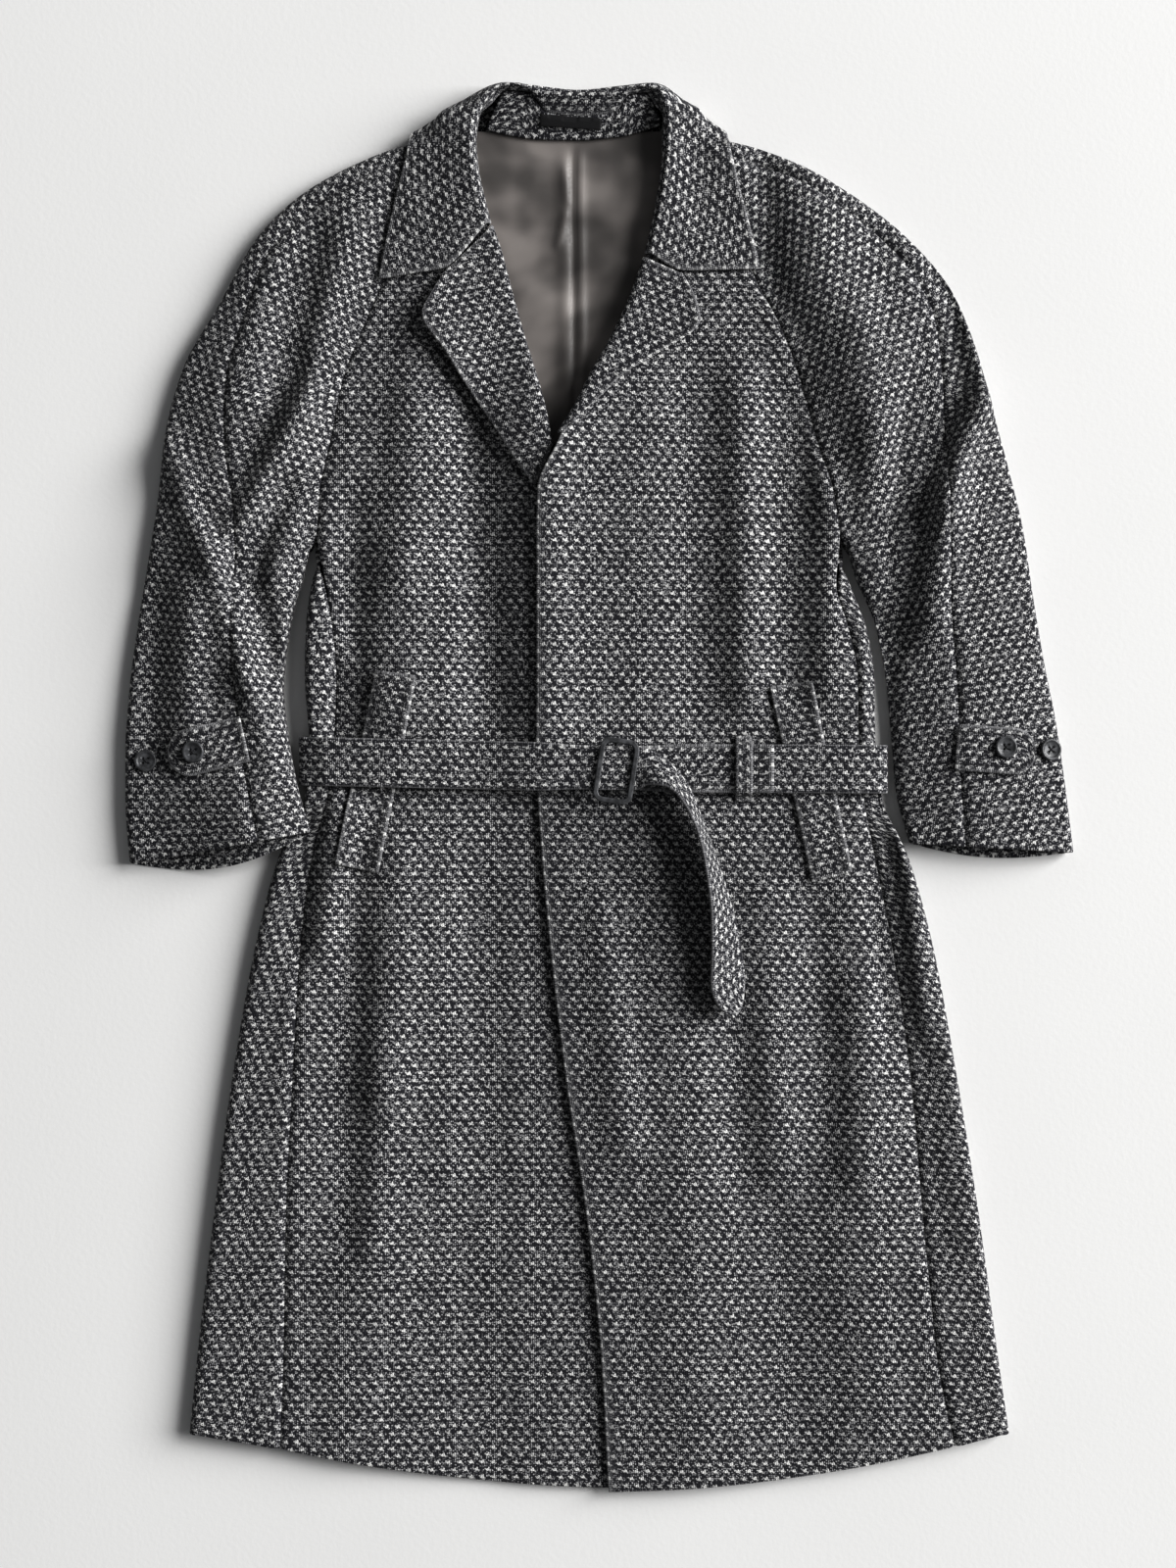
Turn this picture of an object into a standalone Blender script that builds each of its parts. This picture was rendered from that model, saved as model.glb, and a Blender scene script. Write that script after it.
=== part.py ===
"""Belted balmacaan coat of flecked tweed, laid flat on its back, the left front lapped over the right.

Sizes are in millimetres until the meshes are made, which are in metres. The plan has x toward the
wearer's left, y toward the collar and z up from the floor, with the origin on the floor under the
middle of the coat. Right and left are the wearer's.
"""

import math
from collections import namedtuple

import bpy
import numpy as np
from mathutils import Matrix, Vector
from mathutils.bvhtree import BVHTree

MM = 0.001

CLOTH = 2.6  # wall of the tweed with its interlining
SATIN = 1.0  # wall of the lining
TAPE = 0.8  # wall of the label
SEAM_GAP = 0.7  # from each piece to the middle of a seam
LAY_GAP = 0.8  # under a piece that lies on another
FOLD_HEIGHT = 16.0  # over the floor, at the side folds and the sleeve folds
PROBE = 2.5  # how far round a place its height is read, wider than a seam
ROLL_INSET = 6.0  # from the roll of the lapel to the front inside it
ROLL_PROBE = 10.8  # least distance from the roll at which the front's height is read
FACING_LEG = 14.0  # width of the facing that turns under at the roll
SEAM_MARGIN = 14.0  # width of the lower layer beside a raglan seam
LEAST_TOP = 3.0  # least width of a sleeve piece past the fold
UNDER_CLEARANCE = 1.5  # from the inner fold of a sleeve to the lower piece
SKY_Z = 500.0  # over all the cloth, where heights are read from
FOLD_PROBE = 8.0  # in from a fold, where the height of its lower layer is read
FOLD_FADE = 0.7  # how fast a ridge fades past its ends
HEM_ROUNDNESS = 1.5  # of the middle of the hem, between its two sides
LIFT_FROM = 0.22  # share of a sleeve's width that the skirt lifts in full
LIFT_TO = 0.85  # and where it is down again
BOW_FROM = 2.0  # height up to which the lower layer passes the upper in full at the cuff
LAPEL_PROBES = (0.0, 13.0, 16.0)  # from the roll, where the height of the front is read
LAPEL_LEAST = 4.0  # least width of a lapel past its roll
LAPEL_CURL = 1.5  # how late the lapel lifts on its way to the edge
COLLAR_CLEARANCE = 1.0  # more than the gap, under the fall of the collar
FLOOR_BEND = 0.12  # share of the fall's width where it comes down to the floor

BELT_WIDTH = 39.0
BELT_WALL = 3.2
BELT_WIDTH_IN_BUCKLE = 35.0
BELT_RISE = BELT_WALL + 0.6  # of the back over the belt under it
COLLAR_RISE = CLOTH + 1.4  # of the back over the collar under it
COLLAR_MIDDLE_X = -18.0
COLLAR_REACH = 150.0  # to each side of its middle, under the back
COLLAR_REACH_END = 190.0
COLLAR_LOW_END = 484.0
COLLAR_LOW = 510.0
BELT_RAMP_START = 14.0  # past the belt's edge, where the back comes down beside it
BELT_RAMP_END = 50.0

BUCKLE_LENGTH = 56.5
BUCKLE_WIDTH = 34.5
BUCKLE_BAR = 4.6
BUCKLE_BAR_FLATNESS = 0.85
BUCKLE_CORNER = 7.0
BUCKLE_CENTRE = (14.5, 15.5, 34.0)
BUCKLE_TURN = math.radians(-9.0)
CENTRE_BAR = 3.0
CENTRE_BAR_X = -3.5  # from the middle of the frame
CENTRE_BAR_Z = 22.6
BAR_CLEARANCE = 0.5

KEEPER_WIDTH = 12.5
KEEPER_WALL = 2.0
KEEPER_X = 125.0
KEEPER_ROOM = 3.8  # for the two layers of the belt to move in it

WELT_WALL = 2.4
TAB_WALL = 2.4
TAB_WIDTH = 38.0
TAB_LENGTH = 68.0
TAB_END = math.radians(78)  # how far its round end is followed to each side
LABEL_GAP = 0.6
WELT_GAP = 1.4

BUTTON_WIDTH = 19.0
BUTTON_HEIGHT = 3.6
BUTTON_HOLE = 1.9
BUTTON_HOLE_CIRCLE = 5.2
BUTTON_GAP = 1.0
BUTTON_SIDES = 16
BAR_SIDES = 8
HOLE_SIDES = 6

TWEED = (0.085, 0.085, 0.092, 1.0)
SATIN_GREY = (0.105, 0.094, 0.088, 1.0)
HORN_GREY = (0.030, 0.030, 0.032, 1.0)
LABEL_BLACK = (0.010, 0.010, 0.011, 1.0)
TWEED_ROUGHNESS = 0.9
SATIN_ROUGHNESS = 0.4
HORN_ROUGHNESS = 0.35
TAPE_ROUGHNESS = 0.6

# One row for each level of the back, from hem to neck: where it ends at the seam on each side, the
# fold or raglan seam it turns at, the level of its middle, and how far it wraps round the fold.
BackRow = namedtuple(
    "BackRow",
    "right_seam_x right_seam_y right_fold_x right_fold_y "
    "left_fold_x left_fold_y left_seam_x left_seam_y middle_y wrap",
)
BACK_ROWS = (
    BackRow(-277, -571, -356, -559, 356, -559, 309, -569, -598, 1),
    BackRow(-274, -490, -349, -489, 347, -497, 294, -497, -511, 1),
    BackRow(-272, -378, -336, -378, 331, -378, 282, -378, -384, 1),
    BackRow(-266, -251, -319, -251, 311, -251, 271, -251, -253, 1),
    BackRow(-259, -132, -298, -132, 289, -132, 254, -132, -132, 1),
    BackRow(-249, -57, -278, -57, 267, -55, 239, -55, -56, 1),
    BackRow(-236, -9, -256, -9, 246, -9, 230, -9, -9, 1),
    BackRow(-230, 42, -252, 42, 240, 42, 225, 42, 42, 1),
    BackRow(-228, 98, -256, 98, 239, 98, 224, 98, 98, 1),
    BackRow(-231, 140, -255, 140, 232, 140, 216, 140, 140, 1),
    BackRow(-237, 180, -251, 180, 219, 178, 205, 178, 179, 0.9),
    BackRow(-245, 221, -245, 221, 208, 221, 208, 221, 221, 0),
    BackRow(-242, 259, -242, 259, 202, 260, 202, 260, 260, 0),
    BackRow(-232, 306, -232, 306, 189, 303, 189, 303, 304, 0),
    BackRow(-221, 357, -221, 357, 176, 352, 176, 352, 354, 0),
    BackRow(-203, 404, -203, 404, 156, 404, 156, 404, 404, 0),
    BackRow(-187, 442, -187, 442, 134, 446, 134, 446, 444, 0),
    BackRow(-175, 484, -175, 484, 120, 484, 120, 484, 484, 0),
    BackRow(-157, 527, -157, 527, 103, 522, 103, 522, 524, 0),
    BackRow(-128, 560, -128, 560, 78, 560, 78, 560, 566, 0),
)

# One row for each level of a front, from hem to neck: its side at the seam, its front edge or roll,
# the height of the cloth at side, middle and edge, how far the row sags to the hem, and 1 where the
# edge is inside the roll of the lapel.
FrontRow = namedtuple("FrontRow", "side_x side_y edge_x edge_y side_z middle_z edge_z sag roll")
FRONT_RIGHT_ROWS = (
    FrontRow(-277, -571, 88, -606, 15, 9.5, 8, 12, 0),
    FrontRow(-274, -490, 83, -497, 15.5, 9.5, 8, 8, 0),
    FrontRow(-272, -378, 71, -378, 16, 9.5, 8, 4, 0),
    FrontRow(-266, -251, 52, -251, 16, 9.5, 8, 0, 0),
    FrontRow(-259, -132, 38, -132, 16, 9.5, 8, 0, 0),
    FrontRow(-249, -57, 31, -55, 16, 10.5, 9, 0, 0),
    FrontRow(-236, -9, 28, -9, 16, 11.5, 9.5, 0, 0),
    FrontRow(-230, 42, 26, 42, 16, 11.5, 9.5, 0, 0),
    FrontRow(-228, 98, 26, 98, 16, 11, 9, 0, 0),
    FrontRow(-231, 140, 26, 140, 16, 11, 9, 0, 0),
    FrontRow(-237, 180, 20, 180, 16, 11.5, 9, 0, 0),
    FrontRow(-245, 221, -5, 221, 16, 12, 9.5, 0, 0),
    FrontRow(-242, 259, -27, 259, 16, 12.5, 10.5, 0, 0),
    FrontRow(-232, 306, -43, 302, 16, 13.5, 13, 0, 1),
    FrontRow(-221, 357, -54, 357, 16, 15, 15.5, 0, 1),
    FrontRow(-203, 404, -67, 402, 16, 16, 17.5, 0, 1),
    FrontRow(-187, 442, -77, 440, 16, 17, 19, 0, 1),
    FrontRow(-175, 484, -91, 482, 16, 17.5, 19.5, 0, 1),
    FrontRow(-157, 527, -102, 527, 16, 17.5, 19.5, 0, 1),
    FrontRow(-143, 552, -106, 552, 16, 17, 19, 0, 1),
)
FRONT_LEFT_ROWS = (
    FrontRow(309, -569, 9, -609, 15, 13.5, 14, 9, 0),
    FrontRow(294, -497, 3, -497, 15.5, 13.5, 14.5, 6, 0),
    FrontRow(282, -378, -9, -378, 16, 13.5, 15, 3, 0),
    FrontRow(271, -251, -28, -251, 16, 13.5, 15, 0, 0),
    FrontRow(254, -132, -42, -132, 16, 14, 15.5, 0, 0),
    FrontRow(239, -55, -49, -55, 16, 15, 16, 0, 0),
    FrontRow(230, -9, -52, -9, 16, 15.5, 16.5, 0, 0),
    FrontRow(225, 42, -53.5, 42, 16, 15.5, 16.5, 0, 0),
    FrontRow(224, 98, -53, 98, 16, 15.5, 16.5, 0, 0),
    FrontRow(216, 140, -53, 140, 16, 16, 17, 0, 0),
    FrontRow(205, 178, -53, 178, 16, 16.5, 18, 0, 0),
    FrontRow(208, 221, -53, 221, 16, 17, 19.5, 0, 0),
    FrontRow(202, 260, -52, 259, 16, 17.5, 23, 0, 0),
    FrontRow(189, 303, -39, 302, 16, 18, 26, 0, 1),
    FrontRow(176, 352, -11, 355, 16, 18, 26, 0, 1),
    FrontRow(156, 404, 15.5, 404, 16, 18, 24, 0, 1),
    FrontRow(134, 446, 33, 448, 16, 18, 22, 0, 1),
    FrontRow(120, 484, 43, 487, 16, 18, 20.5, 0, 1),
    FrontRow(103, 522, 50, 523, 16, 17.5, 19.5, 0, 1),
    FrontRow(88, 552, 53.5, 552, 16, 17, 19, 0, 1),
)

# One row for each section of a sleeve, from neck to cuff: its inner side, which is the raglan seam
# and then the inner fold, its outer fold, the height of its crown over the folds, the width from the
# outer fold to the seam on top, 1 where the inner side is a closed fold, the height that the inner
# side is lifted by the skirt under it, and how far the lower layer passes the upper at the cuff.
SleeveRow = namedtuple("SleeveRow", "inner_x inner_y outer_x outer_y crown seam closed lift bow")
SLEEVE_RIGHT_ROWS = (
    SleeveRow(-148, 543, -163, 560, 2, 10, 0, 0, 0),
    SleeveRow(-157, 527, -184, 554, 3, 15, 0, 0, 0),
    SleeveRow(-175, 484, -222, 538, 6, 15, 0, 0, 0),
    SleeveRow(-187, 442, -262, 514, 8, 16, 0, 0, 0),
    SleeveRow(-203, 404, -298, 478, 10, 17, 0, 0, 0),
    SleeveRow(-221, 357, -331, 420, 11, 26, 0, 0, 0),
    SleeveRow(-232, 306, -361, 367, 11, 42, 0, 0, 0),
    SleeveRow(-242, 259, -377, 310, 11, 58, 0, 0, 0),
    SleeveRow(-245, 221, -384, 250, 11, 70, 0, 0, 0),
    SleeveRow(-258, 180, -393, 192, 10, 78, 1, 0, 0),
    SleeveRow(-269, 136, -402, 136, 9, 84, 1, 0, 0),
    SleeveRow(-274, 85, -408.5, 85, 8, 94, 1, 0, 0),
    SleeveRow(-269, 42, -412, 34, 8, 102, 1, 2, 0),
    SleeveRow(-261, 4, -412, -8, 8, 110, 1, 13, 0),
    SleeveRow(-255, -17, -410.5, -37, 8, 114, 1, 18, 6),
    SleeveRow(-249, -36, -408, -64, 8, 117, 1, 19, 17),
)
SLEEVE_LEFT_ROWS = (
    SleeveRow(91.5, 545, 108, 563, 2, 10, 0, 0, 0),
    SleeveRow(103, 522, 131, 558, 3, 15, 0, 0, 0),
    SleeveRow(120, 484, 170, 544, 6, 15, 0, 0, 0),
    SleeveRow(134, 446, 212, 521, 8, 16, 0, 0, 0),
    SleeveRow(156, 404, 264, 482, 10, 17, 0, 0, 0),
    SleeveRow(176, 352, 306, 433, 11, 22, 0, 0, 0),
    SleeveRow(189, 303, 326, 386, 11, 34, 0, 0, 0),
    SleeveRow(202, 260, 343, 325, 11, 48, 0, 0, 0),
    SleeveRow(208, 221, 357, 273, 11, 60, 0, 0, 0),
    SleeveRow(224, 180, 368, 227, 10, 68, 1, 0, 0),
    SleeveRow(240, 142, 377, 167, 9, 74, 1, 0, 0),
    SleeveRow(249, 95, 386, 113, 8, 78, 1, 0, 0),
    SleeveRow(253.5, 48, 397, 57, 8, 86, 1, 0, 0),
    SleeveRow(257.5, 0, 405, 2, 8, 92, 1, 0, 3),
    SleeveRow(269, -46, 412, -54, 8, 95, 1, 0, 8.5),
)

# One row for each ridge, or trough where the height is below nought, in the upper layer.
Fold = namedtuple("Fold", "start_x start_y end_x end_y width height")
FOLDS = (
    Fold(-141, 385, -128, 60, 30, 6),
    Fold(-138, -10, -146, -170, 30, 4),
    Fold(-226, 100, -227, 46, 9, -6),
    Fold(252, -60, 271, -220, 18, -6),
    Fold(271, -220, 288, -390, 20, -6),
    Fold(228, 132, 230, 52, 8, 3),
    Fold(-248, 477, -268, 357, 18, -8),
    Fold(-268, 357, -317, 235, 18, -8),
    Fold(-222, 465, -258, 331, 16, 5),
    Fold(-258, 331, -291, 255, 16, 5),
    Fold(-228, 312, -258, 190, 12, -6),
    Fold(-345, 245, -320, 205, 10, -6),
    Fold(-272, 246, -315, 165, 14, -5),
    Fold(309, 421, 322, 350, 16, -8),
    Fold(322, 350, 286, 319, 16, -8),
    Fold(286, 319, 262, 195, 16, -8),
    Fold(245, 467, 255, 408, 18, -5),
    Fold(220, 404, 237, 302, 20, 5),
    Fold(237, 302, 222, 215, 18, 5),
)

# One row for each section of a lapel, from the break to the gorge: the roll, the free edge and how
# far the edge stands off the front.
LapelRow = namedtuple("LapelRow", "roll_x roll_y edge_x edge_y lift")
LAPEL_RIGHT_ROWS = (
    LapelRow(-40, 297, -56, 263, 0),
    LapelRow(-45, 325, -68, 279, 0.5),
    LapelRow(-56, 365, -88, 310, 2),
    LapelRow(-67, 401, -110, 343, 4),
    LapelRow(-77, 438, -131, 377, 6),
    LapelRow(-84, 465, -152, 411, 8),
    LapelRow(-88, 477, -145, 427, 7),
    LapelRow(-91.5, 487, -135, 445, 4),
)
LAPEL_LEFT_ROWS = (
    LapelRow(-36, 308, -25, 314, 0),
    LapelRow(-21, 333, 0, 338, 0.5),
    LapelRow(-8, 360, 20, 358, 1),
    LapelRow(8, 388, 52, 378, 2.5),
    LapelRow(22, 417, 86, 406, 5),
    LapelRow(31, 440, 82, 424, 4),
    LapelRow(37, 459, 72, 444, 2),
)

# One row for each section of the collar, round the neck from the right gorge to the left: its roll,
# the bend of the fall, the free edge, and 0 where the fall lies on the fronts or 1 where it goes under
# the back. A height of 0 on the fronts is the height of the cloth that the collar lies on.
CollarRow = namedtuple(
    "CollarRow", "roll_x roll_y roll_z bend_x bend_y bend_z edge_x edge_y edge_z turn"
)
COLLAR_ROWS = (
    CollarRow(-93.5, 490, 27, -133, 451, 0, -190, 442, 0, 0),
    CollarRow(-99, 512, 29, -140, 490, 0, -183, 478, 0, 0),
    CollarRow(-104, 536, 31, -138, 524, 0, -174, 517, 0, 0),
    CollarRow(-106, 558, 33, -136, 556, 0, -166, 548, 0, 0),
    CollarRow(-103, 583, 34, -136, 582, 26, -163, 569, 13, 0.3),
    CollarRow(-98, 594, 33.5, -129, 592, 15, -158, 571, 1.5, 0.55),
    CollarRow(-92, 603, 33, -119, 597, 12, -135, 545, 0, 0.8),
    CollarRow(-76, 608, 31, -87, 612, 12, -105, 525, 0, 1),
    CollarRow(-49, 603, 29, -50, 608, 12, -60, 518, 0, 1),
    CollarRow(-18, 600, 28, -18, 605, 12, -18, 516, 0, 1),
    CollarRow(17, 603, 29, 18, 609, 12, 25, 518, 0, 1),
    CollarRow(40, 607, 31, 50, 612, 12, 68, 525, 0, 1),
    CollarRow(52, 602, 33, 72, 599, 12, 95, 545, 0, 0.8),
    CollarRow(53.5, 593, 33.5, 79, 594, 15, 104, 573, 1.5, 0.55),
    CollarRow(55, 583, 34, 84, 586, 26, 109, 571, 13, 0.3),
    CollarRow(54, 558, 33, 82, 560, 0, 113, 551, 0, 0),
    CollarRow(52, 530, 31, 86, 524, 0, 121, 516, 0, 0),
    CollarRow(47, 500, 29, 88, 488, 0, 131, 480, 0, 0),
    CollarRow(39, 464, 27, 73, 449, 0, 138, 451, 0, 0),
)
COLLAR_LEG_Z = 11.2  # height of the collar's turned-in side under the fronts

# Where a collar section passes round its roll, from its turned-in side: how far out from the roll, its
# share of the way up to it, and how far over that.
RollPoint = namedtuple("RollPoint", "out share over")
ROLL_ON_FRONT = (
    RollPoint(13, 0, 0),
    RollPoint(5, 0, 0.5),
    RollPoint(0, 0.5, 0),
    RollPoint(5.5, 1, 0),
)
ROLL_AT_BACK = (
    RollPoint(-17, 1, -8.5),
    RollPoint(-9, 1, -4),
    RollPoint(-2, 1, -0.7),
    RollPoint(3, 1, -2.5),
)

# One row for each station of the collar stand: its row in the collar and its foot at the neck seam.
StandRow = namedtuple("StandRow", "collar_row foot_x foot_y")
STAND_ROWS = (
    StandRow(5.9, -97, 573),
    StandRow(7, -77, 568),
    StandRow(8, -50, 564.5),
    StandRow(9, -18, 564),
    StandRow(10, 18, 567),
    StandRow(11, 41, 573),
    StandRow(12.1, 53, 577),
)
STAND_FOOT_Z = 12.4

# One row for each level of the lining in the neck.
LiningRow = namedtuple("LiningRow", "y right_x left_x")
LINING_ROWS = (
    LiningRow(571, -106, 58),
    LiningRow(540, -116, 64),
    LiningRow(500, -112, 60),
    LiningRow(450, -100, 52),
    LiningRow(400, -88, 34),
    LiningRow(350, -74, 10),
    LiningRow(300, -60, -18),
)
LINING_LOFT = 0.8
LINING_FLAT_LOW = 535.0  # the folds fade out from here up to the neck seam
LINING_FLAT_HIGH = 560.0
LINING_PLEAT = Fold(-24, 585, -23, 300, 9, 4)

LABEL_CENTRE = (-25.0, 577.0)
LABEL_SIZE = (52.0, 9.0)
LABEL_TILT = 1.6  # how far its ends are off level

# The four corners of a welt, from the upper one next to the side seam.
Welt = namedtuple("Welt", "top_side top_front low_front low_side")
WELT_RIGHT = Welt((-193, 101), (-159, 97), (-192, -72), (-227, -64))
WELT_LEFT = Welt((183, 92), (149, 88), (185, -80), (218, -71))

# A tab: where it leaves the sleeve seam, and the way it points.
Tab = namedtuple("Tab", "root_x root_y angle")
TAB_RIGHT = Tab(-306, 43, math.radians(194))
TAB_LEFT = Tab(309, 36, math.radians(-4))

BUTTONS = (
    ("button_right_inner", (-349, 32)),
    ("button_right_outer", (-393, 24)),
    ("button_left_inner", (350, 36)),
    ("button_left_outer", (390, 34)),
)

# One row for each station of the belt's free end, past the buckle: its two edges.
TailRow = namedtuple("TailRow", "high_x high_y high_z low_x low_y low_z")
TAIL_ROWS = (
    TailRow(31, 0.5, 30, 31, 35.5, 30),
    TailRow(44, 5, 40, 46, 31, 29),
    TailRow(58, 3, 49, 63, 19, 27.5),
    TailRow(72.7, -12, 55, 79, -3, 25.5),
    TailRow(84.6, -37, 57, 91, -33, 21.5),
    TailRow(92.2, -71, 56, 104, -70, 20),
    TailRow(96.5, -106, 52, 114, -103, 20),
    TailRow(97.3, -138, 49, 121, -136, 20),
    TailRow(96.5, -168, 45, 124.5, -168, 20),
    TailRow(103, -186, 40, 122, -187, 24),
    TailRow(112, -196, 33, 117, -196, 29),
)

# Level of the belt's middle across the coat.
BeltLevel = namedtuple("BeltLevel", "x y")
BELT_LEVELS = (BeltLevel(-260, 24), BeltLevel(10, 18), BeltLevel(250, 17))
BELT_BAR_X = 10.0  # where the belt turns round the bar of the buckle
BELT_RETURN_X = 157.0  # where its sewn-back end stops
BELT_LEFT_TOP_X = 231.0
BELT_LEFT_FOLD_X = 247.0
BELT_RIGHT_FOLD_X = -257.5
BELT_RIGHT_TOP_X = -236.0
BELT_UNDER_INSET = 16.0  # from a side fold to the flat run under the coat
BELT_LAYER_GAP = 0.6
BELT_OVER_GAP = 0.8
BELT_PROBES = (-19, -10, 0, 10, 19)  # across the belt, where the height under it is read
BELT_SMOOTHING = 5  # stations that one height is smoothed over

# Where the belt changes on its way to the bar: along x, the start and the end of each change.
Change = namedtuple("Change", "start end")
SKEW_FROM_BAR = Change(5, 45)
SEWN_LEVEL_FROM_BAR = Change(3, 38)
SEWN_WIDTH = Change(30, 75)
FREE_LEVEL = Change(-52, 4)
FREE_WIDTH = Change(-60, -14)
FREE_TOP_END_X = -4.0
OVER_BAR_X = (6, 14, 23)

# Half of the keeper's section, from its foot on the coat to the middle: how far past the belt's edge,
# its share of the way up, and how far over that.
KeeperPoint = namedtuple("KeeperPoint", "past share over")
KEEPER_POINTS = (
    KeeperPoint(8.0, 0, 0),
    KeeperPoint(4.5, 0, 0.6),
    KeeperPoint(2.6, 0.5, 0),
    KeeperPoint(0.2, 1, -0.8),
    KeeperPoint(-4.0, 1, 0),
)

# Half of the centre bar, from its end in the frame down to its level run.
BarPoint = namedtuple("BarPoint", "inset share over")
BAR_POINTS = (BarPoint(0, 0, 0.6), BarPoint(0.6, 0.55, 0), BarPoint(2.0, 1, 0))

# The button's section from its underside round the rim to its sunk middle: in from the rim, and up.
ButtonPoint = namedtuple("ButtonPoint", "inset up")
BUTTON_POINTS = (
    ButtonPoint(2.0, 0),
    ButtonPoint(0, 1.4),
    ButtonPoint(0, 2.6),
    ButtonPoint(0.8, BUTTON_HEIGHT),
    ButtonPoint(2.2, BUTTON_HEIGHT),
    ButtonPoint(3.4, BUTTON_HEIGHT - 1.0),
)

# How finely each piece is cut up.
BODY_LEVELS = np.concatenate([np.arange(0, 5, 0.5), np.arange(5, 10), [10, 10.5], np.arange(11, 20)])
SLEEVE_LEVELS = np.concatenate([np.arange(0, 8), [8, 8.5]])


def smoothstep(low, high, value):
    ramp = np.clip((np.asarray(value, float) - low) / (high - low), 0.0, 1.0)
    return ramp * ramp * (3.0 - 2.0 * ramp)


def curve_through(knots, values, at):
    """A smooth curve through the values at the knots, which never passes beyond them between two knots."""
    knots = np.asarray(knots, float)
    values = np.asarray(values, float)
    step = np.diff(knots)[:, None]
    rise = np.diff(values, axis=0) / step
    slope = np.zeros_like(values)
    slope[0] = rise[0]
    slope[-1] = rise[-1]
    before, after = rise[:-1], rise[1:]
    same_way = before * after > 0
    weight_before = 2 * step[1:] + step[:-1]
    weight_after = step[1:] + 2 * step[:-1]
    safe_before = np.where(same_way, before, 1.0)
    safe_after = np.where(same_way, after, 1.0)
    mean = (weight_before + weight_after) / (weight_before / safe_before + weight_after / safe_after)
    slope[1:-1] = np.where(same_way, mean, 0.0)
    at = np.clip(at, knots[0], knots[-1])
    place = np.clip(np.searchsorted(knots, at, side="right") - 1, 0, len(knots) - 2)
    width = step[place]
    t = ((at - knots[place]) / width[:, 0])[:, None]
    return (
        values[place] * (1 + 2 * t) * (1 - t) ** 2
        + slope[place] * width * t * (1 - t) ** 2
        + values[place + 1] * t * t * (3 - 2 * t)
        + slope[place + 1] * width * t * t * (t - 1)
    )


def rows_at(rows, places):
    """The table's rows at these places along it, where 2.5 is half way from row 2 to row 3."""
    made = curve_through(np.arange(len(rows)), rows, np.asarray(places, float))
    return [type(rows[0])(*row) for row in made]


def rows_between(rows, count, plan):
    """The table's rows filled in to this many, evenly along the plan columns named."""
    values = np.array(rows, float)
    places = values[:, [rows[0]._fields.index(name) for name in plan]]
    knots = np.concatenate([[0.0], np.cumsum(np.linalg.norm(np.diff(places, axis=0), axis=1))])
    made = curve_through(knots, values, np.linspace(0.0, knots[-1], count))
    return [type(rows[0])(*row) for row in made]


def fold_height(x, y, folds=FOLDS):
    """How far the ridges and troughs raise the cloth at a place in the plan."""
    total = np.zeros(np.broadcast(x, y).shape)
    for fold in folds:
        along = np.array([fold.end_x - fold.start_x, fold.end_y - fold.start_y], float)
        length = np.linalg.norm(along)
        along /= length
        far = (x - fold.start_x) * along[0] + (y - fold.start_y) * along[1]
        aside = (x - fold.start_x) * along[1] - (y - fold.start_y) * along[0]
        past = np.maximum(0.0, np.maximum(-far, far - length))
        total += fold.height * np.exp(-(aside**2 + (FOLD_FADE * past) ** 2) / fold.width**2)
    return total


def collar_rise(x, y):
    """Height of the lower layer over the floor where the collar is under it."""
    across = 1 - smoothstep(COLLAR_REACH, COLLAR_REACH_END, np.abs(x - COLLAR_MIDDLE_X))
    return COLLAR_RISE * smoothstep(COLLAR_LOW_END, COLLAR_LOW, y) * across


def belt_y(x):
    """Level of the belt's middle at this place across the coat."""
    return np.interp(x, [level.x for level in BELT_LEVELS], [level.y for level in BELT_LEVELS])


def back_rise(x, y):
    """Height of the back over the floor: it lies on the belt and on the collar."""
    past = np.abs(y - belt_y(x)) - BELT_WIDTH / 2
    on_belt = 1 - smoothstep(BELT_RAMP_START, BELT_RAMP_END, past)
    return BELT_RISE * on_belt + collar_rise(x, y)


def bulge(share):
    """0 at each end and 1 half way."""
    return 4 * share * (1 - share)


def grid_normals(grid):
    """The way the right side faces at each point of a grid."""
    along = np.gradient(grid, axis=0)
    across = np.gradient(grid, axis=1)
    normal = np.cross(across, along)
    return normal / np.linalg.norm(normal, axis=2, keepdims=True)


def material_of(name, colour, roughness):
    material = bpy.data.materials.new(name)
    material.use_nodes = True
    shader = material.node_tree.nodes["Principled BSDF"]
    shader.inputs["Base Color"].default_value = colour
    shader.inputs["Roughness"].default_value = roughness
    return material


def mesh_object(name, points, faces, colour, roughness=TWEED_ROUGHNESS):
    mesh = bpy.data.meshes.new(name)
    mesh.from_pydata((np.asarray(points, float) * MM).tolist(), [], faces)
    mesh.update()
    mesh.materials.append(material_of(name, colour, roughness))
    made = bpy.data.objects.new(name, mesh)
    bpy.context.scene.collection.objects.link(made)
    return made


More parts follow.
